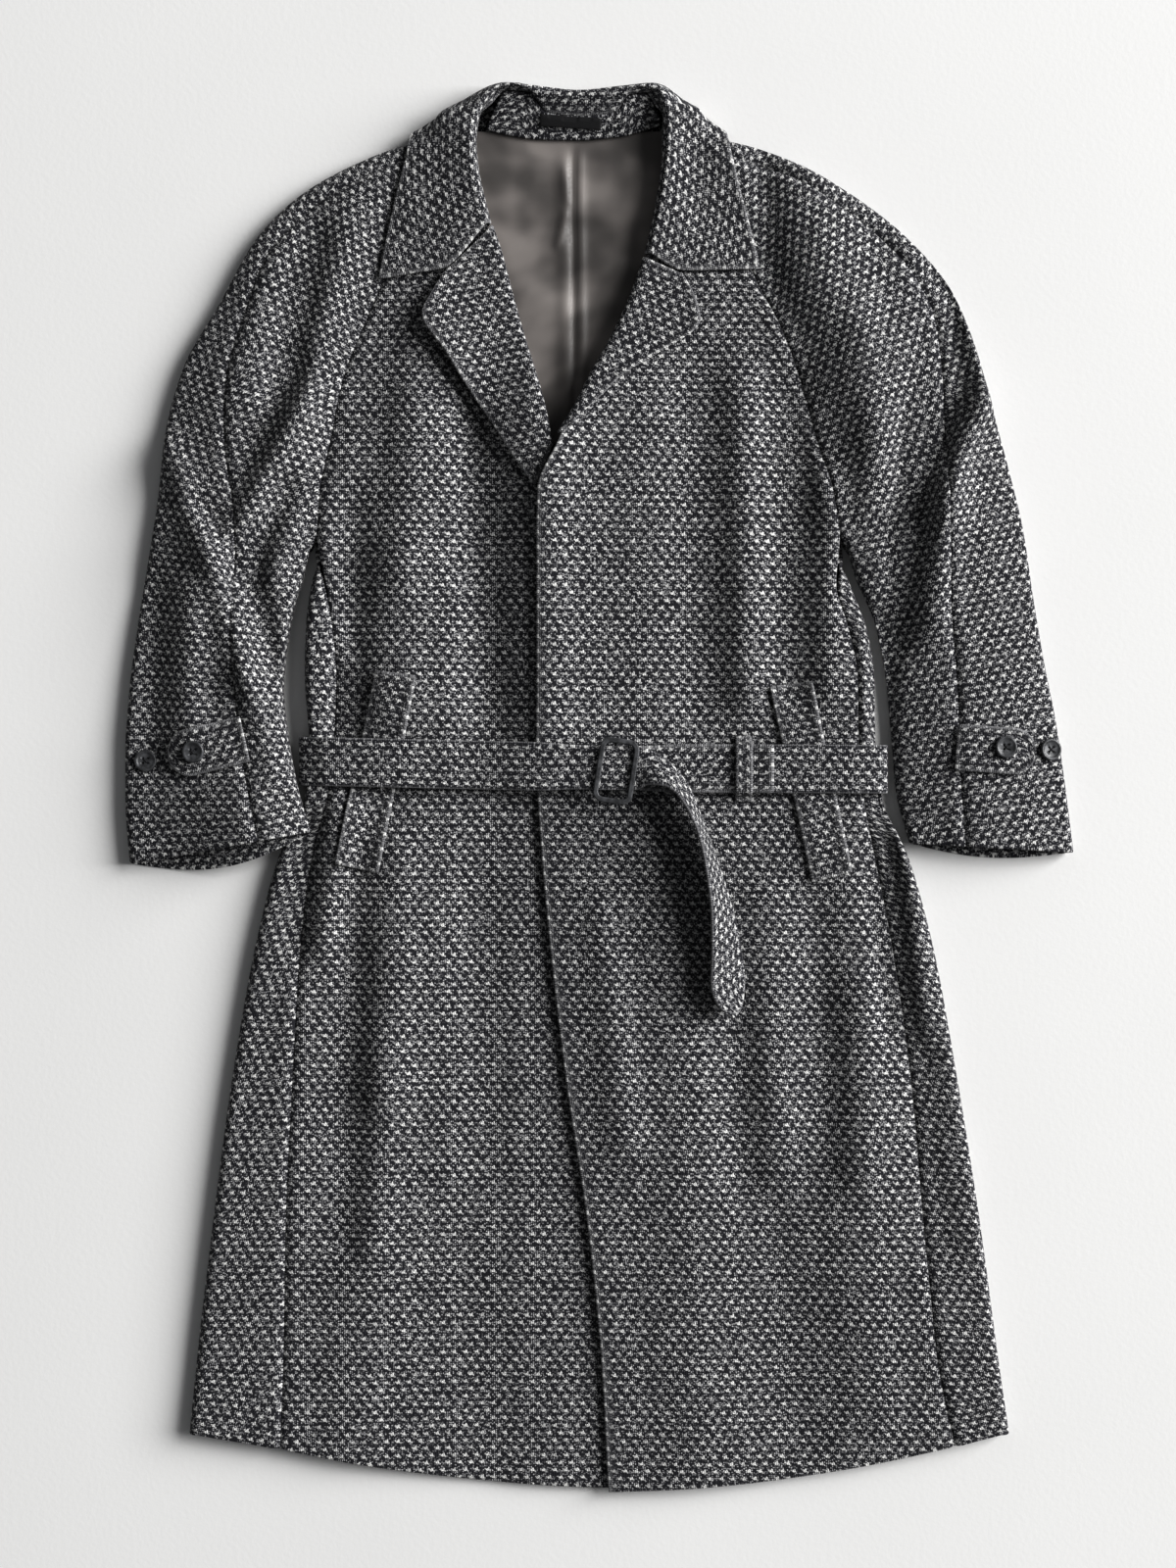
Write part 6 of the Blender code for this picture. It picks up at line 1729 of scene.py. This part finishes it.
def line_along(grid, inset):
    """A line along a piece, this far in from its first column, or from its last where it is negative."""
    made = []
    for row in grid if inset > 0 else grid[:, ::-1]:
        far = run_along(row)
        made.append([np.interp(abs(inset), far, row[:, part]) for part in range(3)])
    return np.array(made)


def line_across(grid, inset):
    """A line across a piece, this far in from its first row, or from its last where it is negative."""
    return line_along(grid.transpose(1, 0, 2), inset)


def level_runs(line, level):
    """The stretches of a line that are above a level."""
    runs, run = [], []
    for point in line:
        if point[2] > level:
            run.append(point)
        elif run:
            runs.append(run)
            run = []
    return [each for each in runs + [run] if len(each) > 2]


def sewn_lines(name, lines):
    """Stitches along lines on a piece of cloth."""
    trim = bpy.context.scene.coat_trim
    points, edges = [], []
    for line in lines:
        first = len(points)
        points.extend(np.asarray(line) * MM)
        edges.extend((first + index, first + index + 1) for index in range(len(line) - 1))
    mesh = bpy.data.meshes.new(name)
    mesh.from_pydata([tuple(point) for point in points], edges, [])
    made = put_in_scene(name, mesh)
    tree = bpy.data.node_groups.get("stitches") or stitch_nodes()
    modifier = made.modifiers.new("stitches", "NODES")
    modifier.node_group = tree
    sockets = {each.name: each.identifier for each in tree.interface.items_tree if each.in_out == "INPUT"}
    modifier[sockets["Step"]] = trim.stitch + trim.stitch_gap
    modifier[sockets["Length"]] = trim.stitch
    modifier[sockets["Thickness"]] = trim.thread_width
    modifier[sockets["Thread"]] = thread()
    plain_mesh(made)
    made.data.shade_smooth()
    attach(made, BODY)
    return made


def edge_stitches(name, grid):
    """Stitches along the two long edges of a piece."""
    return sewn_lines(name + "_stitches", [line_along(grid, EDGE_STITCH), line_along(grid, -EDGE_STITCH)])


def button_place(place, normal):
    """Where a button stands on the cloth, as a matrix in metres."""
    turn = Vector((0.0, 0.0, 1.0)).rotation_difference(Vector(normal)).to_matrix().to_4x4()
    return Matrix.Translation((Vector(place) + Vector(normal) * BUTTON_GAP) * MM) @ turn


def button_threads(name, place, normal):
    """The crossed threads that hold a button, from hole to hole."""
    stand = button_place(place, normal)
    made = []
    for degrees in (45, 135):
        angle = math.radians(degrees)
        path = []
        for share in np.linspace(-1.0, 1.0, 13):
            far = share * BUTTON_HOLE_CIRCLE / 2
            sunk = THREAD_SINK * float(smoothstep(THREAD_BEND, 1.0, abs(share)))
            crossing = THREAD_CROSSING * (degrees > 90) * (1 - share**2)
            up = BUTTON_POINTS[-1].up + BUTTON_THREAD / 2 - sunk + crossing
            path.append((far * math.cos(angle), far * math.sin(angle), up))
        bar = rounded_bar(f"{name}_thread_{degrees}", path, BUTTON_THREAD, thread(), sides=10)
        bar.data.transform(stand)
        made.append(bar)
    both = joined(made[0], made[1:], "UNION")
    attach(both, BODY)
    return both


def button_object(name, place, normal):
    """A turned button with a raised rim and four holes."""
    points = [(0.0, 0.0, 0.0)]
    for point in BUTTON_POINTS:
        far = BUTTON_WIDTH / 2 - point.inset
        for angle in np.linspace(0.0, 2 * math.pi, BUTTON_SIDES, endpoint=False):
            points.append((far * math.cos(angle), far * math.sin(angle), point.up))
    points.append((0.0, 0.0, BUTTON_POINTS[-1].up))
    last = len(points) - 1
    faces = []
    for corner in range(BUTTON_SIDES):
        after = (corner + 1) % BUTTON_SIDES
        faces.append([0, 1 + after, 1 + corner])
        for ring in range(len(BUTTON_POINTS) - 1):
            here = 1 + ring * BUTTON_SIDES
            there = here + BUTTON_SIDES
            faces.append([here + corner, here + after, there + after, there + corner])
        top = 1 + (len(BUTTON_POINTS) - 1) * BUTTON_SIDES
        faces.append([last, top + corner, top + after])
    button = outward(mesh_piece(name + "_turned", points, faces, horn()))
    holes = []
    for index in range(4):
        angle = math.radians(45 + 90 * index)
        x, y = BUTTON_HOLE_CIRCLE / 2 * math.cos(angle), BUTTON_HOLE_CIRCLE / 2 * math.sin(angle)
        drill = [(x, y, -DRILL_SPARE), (x, y, BUTTON_HEIGHT + DRILL_SPARE)]
        holes.append(rounded_bar(f"{name}_hole_{index}", drill, BUTTON_HOLE, horn(), sides=14))
    stand = button_place(place, normal)
    for each in (button, *holes):
        each.data.transform(stand)
    return joined(button, holes, "DIFFERENCE")


class CoatClothSettings(PropertyGroup):
    """Sizes and colours of the tweed."""

    mesh_step: FloatProperty(
        name="Mesh step",
        description="Distance between two points of a cloth mesh",
        default=5.0 * MM, min=2.0 * MM, unit="LENGTH",
    )
    yarn_across: FloatProperty(
        name="Yarn across",
        description="Width of one yarn; six of them make one repeat of the weave",
        default=1.62 * MM, min=0.2 * MM, unit="LENGTH",
    )
    yarn_along: FloatProperty(
        name="Yarn along",
        description="Height of one yarn; a row of flecks comes every four",
        default=1.6 * MM, min=0.2 * MM, unit="LENGTH",
    )
    ground: FloatVectorProperty(
        name="Ground",
        description="Colour of the dark yarn",
        default=(0.033, 0.033, 0.039), subtype="COLOR", min=0.0, max=1.0,
    )
    grey: FloatVectorProperty(
        name="Grey",
        description="Colour of the middle yarn",
        default=(0.5, 0.498, 0.505), subtype="COLOR", min=0.0, max=1.0,
    )
    fleck: FloatVectorProperty(
        name="Fleck",
        description="Colour of the off-white fleck",
        default=(0.86, 0.855, 0.84), subtype="COLOR", min=0.0, max=1.0,
    )


class CoatTrimSettings(PropertyGroup):
    """Sizes and colours of the lining, label, buttons, buckle and thread."""

    satin: FloatVectorProperty(
        name="Satin",
        description="Colour of the lining",
        default=(0.198, 0.181, 0.172), subtype="COLOR", min=0.0, max=1.0,
    )
    tape: FloatVectorProperty(
        name="Label",
        description="Colour of the woven label",
        default=(0.008, 0.008, 0.009), subtype="COLOR", min=0.0, max=1.0,
    )
    horn: FloatVectorProperty(
        name="Horn",
        description="Colour of the buttons and the buckle",
        default=(0.050, 0.051, 0.054), subtype="COLOR", min=0.0, max=1.0,
    )
    thread: FloatVectorProperty(
        name="Thread",
        description="Colour of the sewing thread",
        default=(0.020, 0.020, 0.022), subtype="COLOR", min=0.0, max=1.0,
    )
    stitch: FloatProperty(
        name="Stitch",
        description="Length of one stitch",
        default=3.2 * MM, min=0.5 * MM, unit="LENGTH",
    )
    stitch_gap: FloatProperty(
        name="Stitch gap",
        description="Distance between two stitches",
        default=1.0 * MM, min=0.1 * MM, unit="LENGTH",
    )
    thread_width: FloatProperty(
        name="Thread width",
        description="Thickness of the sewing thread",
        default=0.8 * MM, min=0.1 * MM, unit="LENGTH",
    )


class CoatStageSettings(PropertyGroup):
    """The floor, the light and the camera."""

    camera_height: FloatProperty(
        name="Camera height",
        description="Height of the camera over the floor",
        default=2.3, min=0.5, unit="LENGTH",
    )
    view_length: FloatProperty(
        name="View length",
        description="Length of the floor that the picture takes in, from top to bottom",
        default=1.36, min=0.1, unit="LENGTH",
    )
    floor: FloatVectorProperty(
        name="Floor",
        description="Colour of the floor",
        default=(0.87, 0.865, 0.86), subtype="COLOR", min=0.0, max=1.0,
    )
    window_power: FloatProperty(
        name="Window",
        description="Power of the soft light from the side",
        default=6300.0, min=0.0, unit="POWER",
    )
    fill: FloatProperty(
        name="Fill",
        description="Strength of the light from all round",
        default=0.18, min=0.0, max=1.0, subtype="FACTOR",
    )


def made_tops(*names):
    """The right sides of these pieces, to lay others on."""
    for name in names:
        if name not in GRIDS:
            raise RuntimeError(f"{name} has to be made first")
        if name not in TOPS:
            TOPS[name] = surface_of(GRIDS[name])
    return [TOPS[name] for name in names]


def upper_tops():
    """The right sides of the fronts and sleeves."""
    sleeves = [f"sleeve_{side}_{part}" for side in SIDES for part in ("front", "back")]
    return made_tops("front_right", "front_left", *sleeves)


def strip_grid(stations, step, columns):
    """A strip through pairs of edge points, filled in evenly."""
    pairs = np.array(stations, float)
    middle = pairs.mean(axis=1)
    knots = run_along(middle)
    even = np.linspace(0.0, knots[-1], int(knots[-1] / step) + 2)
    edges = curve_through(knots, pairs.reshape(len(pairs), -1), even).reshape(-1, 2, 3)
    t = np.linspace(0.0, 1.0, columns)[None, :, None]
    return edges[:, :1] * (1 - t) + edges[:, 1:] * t


def moved_out(grid, height):
    """The grid moved out along its normals."""
    return grid + height * grid_normals(grid)


def hard_piece(name, made):
    """Names a piece of horn plastic and puts it in place of its solid."""
    made.name = name + "_horn"
    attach(made, BODY)
    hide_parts(name)


def plain_mesh(made):
    """The object with its modifiers worked into its mesh."""
    graph = bpy.context.evaluated_depsgraph_get()
    mesh = bpy.data.meshes.new_from_object(made.evaluated_get(graph))
    made.modifiers.clear()
    made.data = mesh
    return made


def joined(made, others, operation):
    """The object with others joined to it, or cut from it."""
    for other in others:
        modifier = made.modifiers.new(operation.lower(), "BOOLEAN")
        modifier.operation = operation
        modifier.solver = "EXACT"
        modifier.object = other
    plain_mesh(made)
    for other in others:
        bpy.data.objects.remove(other)
    return made


class COAT_OT_body(Operator):
    """Lays the back and the two fronts"""

    bl_idname = "coat.body"
    bl_label = "Body"

    def execute(self, context):
        step = context.scene.coat_cloth.mesh_step / MM
        levels = even_levels(FRONT_RIGHT_ROWS, ("side_x", "side_y"), step)
        back = back_grid(levels, strip=12, turn=14, flat=40)
        places = arc_places(back, back.shape[1] // 2)
        lay_cloth("back", back, places, tweed())
        right, places = front_grid(FRONT_RIGHT_ROWS, levels, columns=74, fly=False)
        lay_cloth("front_right", right, places, tweed())
        left, places = front_grid(FRONT_LEFT_ROWS, levels, columns=66, fly=True)
        lay_cloth("front_left", left, places, tweed(), free=FRONT_EDGES)
        return {"FINISHED"}


class COAT_OT_sleeves(Operator):
    """Lays the sleeves, each of an upper and an under piece"""

    bl_idname = "coat.sleeves"
    bl_label = "Sleeves"

    def execute(self, context):
        step = context.scene.coat_cloth.mesh_step / MM
        for side, table in (("right", SLEEVE_RIGHT_ROWS), ("left", SLEEVE_LEFT_ROWS)):
            levels = even_levels(table, ("outer_x", "outer_y"), step)
            upper = sleeve_front_grid(table, levels, turn=10, columns=28)
            under = sleeve_back_grid(table, levels, columns=24, turn=14, flat=16)
            for part, grid, below in (("front", upper, f"sleeve_{side}_back"), ("back", under, "back")):
                places = slanted_places(grid, SLEEVE_EASE)
                laid = facing_up(grid)
                if laid is not grid:
                    places = places[:, ::-1]
                lay_cloth(f"sleeve_{side}_{part}", laid, places, tweed())
        return {"FINISHED"}


class COAT_OT_collar(Operator):
    """Lays the lapels, the collar and its stand"""

    bl_idname = "coat.collar"
    bl_label = "Collar and lapels"

    def execute(self, context):
        for side, table in (("right", LAPEL_RIGHT_ROWS), ("left", LAPEL_LEFT_ROWS)):
            below = f"front_{side}"
            front = made_tops(below)[0]
            grid = smoothed(lapel_grid(table, levels=60, turn=13, columns=24, front=front))
            places = slanted_places(grid, LAPEL_EASE)
            lay_cloth(f"lapel_{side}", grid, places, tweed(), free=ALL_BORDERS)
        fall = smoothed(collar_grid(levels=170, columns=46, below=upper_tops()))
        places = slanted_places(fall, COLLAR_EASE)[..., ::-1]
        below = ["front_right", "front_left"]
        lay_cloth("collar_fall", fall, places, tweed(), free=ALL_BORDERS)
        stand = stand_grid(levels=60, columns=12, below=upper_tops())
        places = arc_places(stand)[..., ::-1]
        lay_cloth("collar_stand", stand, places, tweed())
        return {"FINISHED"}


class COAT_OT_lining(Operator):
    """Lays the lining in the neck, and the label on the stand"""

    bl_idname = "coat.lining"
    bl_label = "Lining and label"

    def execute(self, context):
        lining = lining_grid(levels=90, columns=64)
        lay_cloth("lining", lining, arc_places(lining), satin(), SATIN)
        plan = welt_plan(label_corners(), levels=8, columns=40)
        label = laid_grid(plan, made_tops("collar_stand"), TAPE, LABEL_GAP)
        lay_cloth("label", label, arc_places(label), tape(), TAPE)
        return {"FINISHED"}


class COAT_OT_pockets(Operator):
    """Lays the slanted welts of the two pockets"""

    bl_idname = "coat.pockets"
    bl_label = "Pocket welts"

    def execute(self, context):
        for side, welt in (("right", WELT_RIGHT), ("left", WELT_LEFT)):
            name, below = f"welt_{side}", f"front_{side}"
            plan = welt_plan(welt, levels=60, columns=14)
            grid = smoothed(laid_grid(plan, made_tops(below), WELT_WALL, WELT_GAP))
            places = arc_places(grid)
            sewn = [edge_stitches(name, grid)]
            lay_cloth(name, grid, places, tweed(), WELT_WALL, ALL_BORDERS)
        return {"FINISHED"}


class COAT_OT_belt(Operator):
    """Lays the belt, its keeper and its buckle"""

    bl_idname = "coat.belt"
    bl_label = "Belt"

    def execute(self, context):
        below = made_tops("front_right", "front_left", "back", "welt_right", "welt_left")
        middle = smoothed(strip_grid(belt_stations(below), step=4.0, columns=13), passes=1)
        belt = moved_out(middle, BELT_WALL / 2)
        places = arc_places(belt)[..., ::-1]
        lines = level_runs(line_along(belt, EDGE_STITCH), BELT_LINE_Z)
        lines += level_runs(line_along(belt, -EDGE_STITCH), BELT_LINE_Z)
        lines.append(line_across(belt, END_STITCH))
        sewn = [sewn_lines("belt_stitches", lines)]
        lay_cloth("belt", belt, places, tweed(), BELT_WALL, ALL_BORDERS)
        keeper = facing_up(strip_grid(keeper_stations(below), step=2.0, columns=7))
        keeper = moved_out(keeper, KEEPER_WALL / 2)
        places = arc_places(keeper)[..., ::-1]
        lay_cloth("belt_keeper", keeper, places, tweed(), KEEPER_WALL, free=ALL_BORDERS)
        hard_piece("buckle", buckle_object())
        return {"FINISHED"}


class COAT_OT_tabs(Operator):
    """Lays the sleeve tabs with their buttons"""

    bl_idname = "coat.tabs"
    bl_label = "Sleeve tabs and buttons"

    def execute(self, context):
        for side, tab in (("right", TAB_RIGHT), ("left", TAB_LEFT)):
            name, under = f"tab_{side}", f"sleeve_{side}_back"
            below = made_tops(f"sleeve_{side}_front", under)
            plan = tab_plan(tab, levels=36, columns=19)
            grid = smoothed(laid_grid(plan, below, TAB_WALL, TAB_STAND))
            places = arc_places(grid)[..., ::-1]
            sewn = [edge_stitches(name, grid)]
            lay_cloth(name, grid, places, tweed(), TAB_WALL, ALL_BORDERS)
        sleeves = [f"sleeve_{side}_{part}" for side in SIDES for part in ("front", "back")]
        below = made_tops("tab_right", "tab_left", *sleeves)
        for name, (x, y) in BUTTONS:
            place, normal = normal_on(below, x, y)
            hard_piece(name, button_object(name, place, normal))
            button_threads(name, place, normal)
        return {"FINISHED"}


class COAT_OT_stage(Operator):
    """Sets the floor, the light and the camera straight above"""

    bl_idname = "coat.stage"
    bl_label = "Floor, light and camera"

    def execute(self, context):
        scene = context.scene
        settings = scene.coat_stage
        corners = []
        for way_x, way_y in ((-1, -1), (1, -1), (1, 1), (-1, 1)):
            corners.append((way_x * FLOOR_REACH, way_y * FLOOR_REACH, -FLOOR_GAP))
        mesh = bpy.data.meshes.new("floor")
        mesh.from_pydata(corners, [], [(0, 1, 2, 3)])
        mesh.materials.append(floor_material(settings))
        floor = put_in_scene("floor", mesh)
        lamp = bpy.data.lights.new("window", "AREA")
        lamp.shape = "RECTANGLE"
        lamp.size = WINDOW_SIZE
        lamp.size_y = WINDOW_SIZE
        lamp.energy = settings.window_power
        lamp.color = WINDOW_COLOUR
        window = put_in_scene("window", lamp)
        level = WINDOW_DISTANCE * math.cos(WINDOW_HEIGHT)
        height = WINDOW_DISTANCE * math.sin(WINDOW_HEIGHT)
        window.location = (level * math.cos(WINDOW_BEARING), level * math.sin(WINDOW_BEARING), height)
        window.rotation_euler = (-Vector(window.location)).to_track_quat("-Z", "Y").to_euler()
        world = bpy.data.worlds.new("fill")
        world.use_nodes = True
        sky = world.node_tree.nodes["Background"]
        sky.inputs["Color"].default_value = rgba(FILL_COLOUR)
        sky.inputs["Strength"].default_value = settings.fill
        scene.world = world
        lens = bpy.data.cameras.new("overhead")
        lens.sensor_width = 36.0
        lens.lens = lens.sensor_width * (settings.camera_height - CLOTH_LEVEL * MM) / settings.view_length
        lens.clip_end = 20.0
        camera = put_in_scene("overhead", lens)
        camera.location = (CAMERA_X * MM, CAMERA_Y * MM, settings.camera_height)
        scene.camera = camera
        scene.view_settings.view_transform = "Standard"
        scene.view_settings.gamma = PRINT_GAMMA
        return {"FINISHED"}


STEPS = (
    COAT_OT_body,
    COAT_OT_sleeves,
    COAT_OT_collar,
    COAT_OT_lining,
    COAT_OT_pockets,
    COAT_OT_belt,
    COAT_OT_tabs,
    COAT_OT_stage,
)


class COAT_PT_sidebar(Panel):
    """Lists the steps in the order they are done"""

    bl_idname = "COAT_PT_sidebar"
    bl_label = "Balmacaan Coat"
    bl_space_type = "VIEW_3D"
    bl_region_type = "UI"
    bl_category = "Coat"

    def draw(self, context):
        for step in STEPS:
            self.layout.operator(step.bl_idname)
        for group in (context.scene.coat_cloth, context.scene.coat_trim, context.scene.coat_stage):
            box = self.layout.box()
            for name in group.__annotations__:
                box.prop(group, name)


CLASSES = (CoatClothSettings, CoatTrimSettings, CoatStageSettings, *STEPS, COAT_PT_sidebar)


def register():
    for each in CLASSES:
        bpy.utils.register_class(each)
    bpy.types.Scene.coat_cloth = PointerProperty(type=CoatClothSettings)
    bpy.types.Scene.coat_trim = PointerProperty(type=CoatTrimSettings)
    bpy.types.Scene.coat_stage = PointerProperty(type=CoatStageSettings)


def unregister():
    del bpy.types.Scene.coat_stage
    del bpy.types.Scene.coat_trim
    del bpy.types.Scene.coat_cloth
    for each in reversed(CLASSES):
        bpy.utils.unregister_class(each)


def main():
    register()
    bpy.ops.coat.body()
    bpy.ops.coat.sleeves()
    bpy.ops.coat.collar()
    bpy.ops.coat.lining()
    bpy.ops.coat.pockets()
    bpy.ops.coat.belt()
    bpy.ops.coat.tabs()
    bpy.ops.coat.stage()


if __name__ == "__main__":
    main()
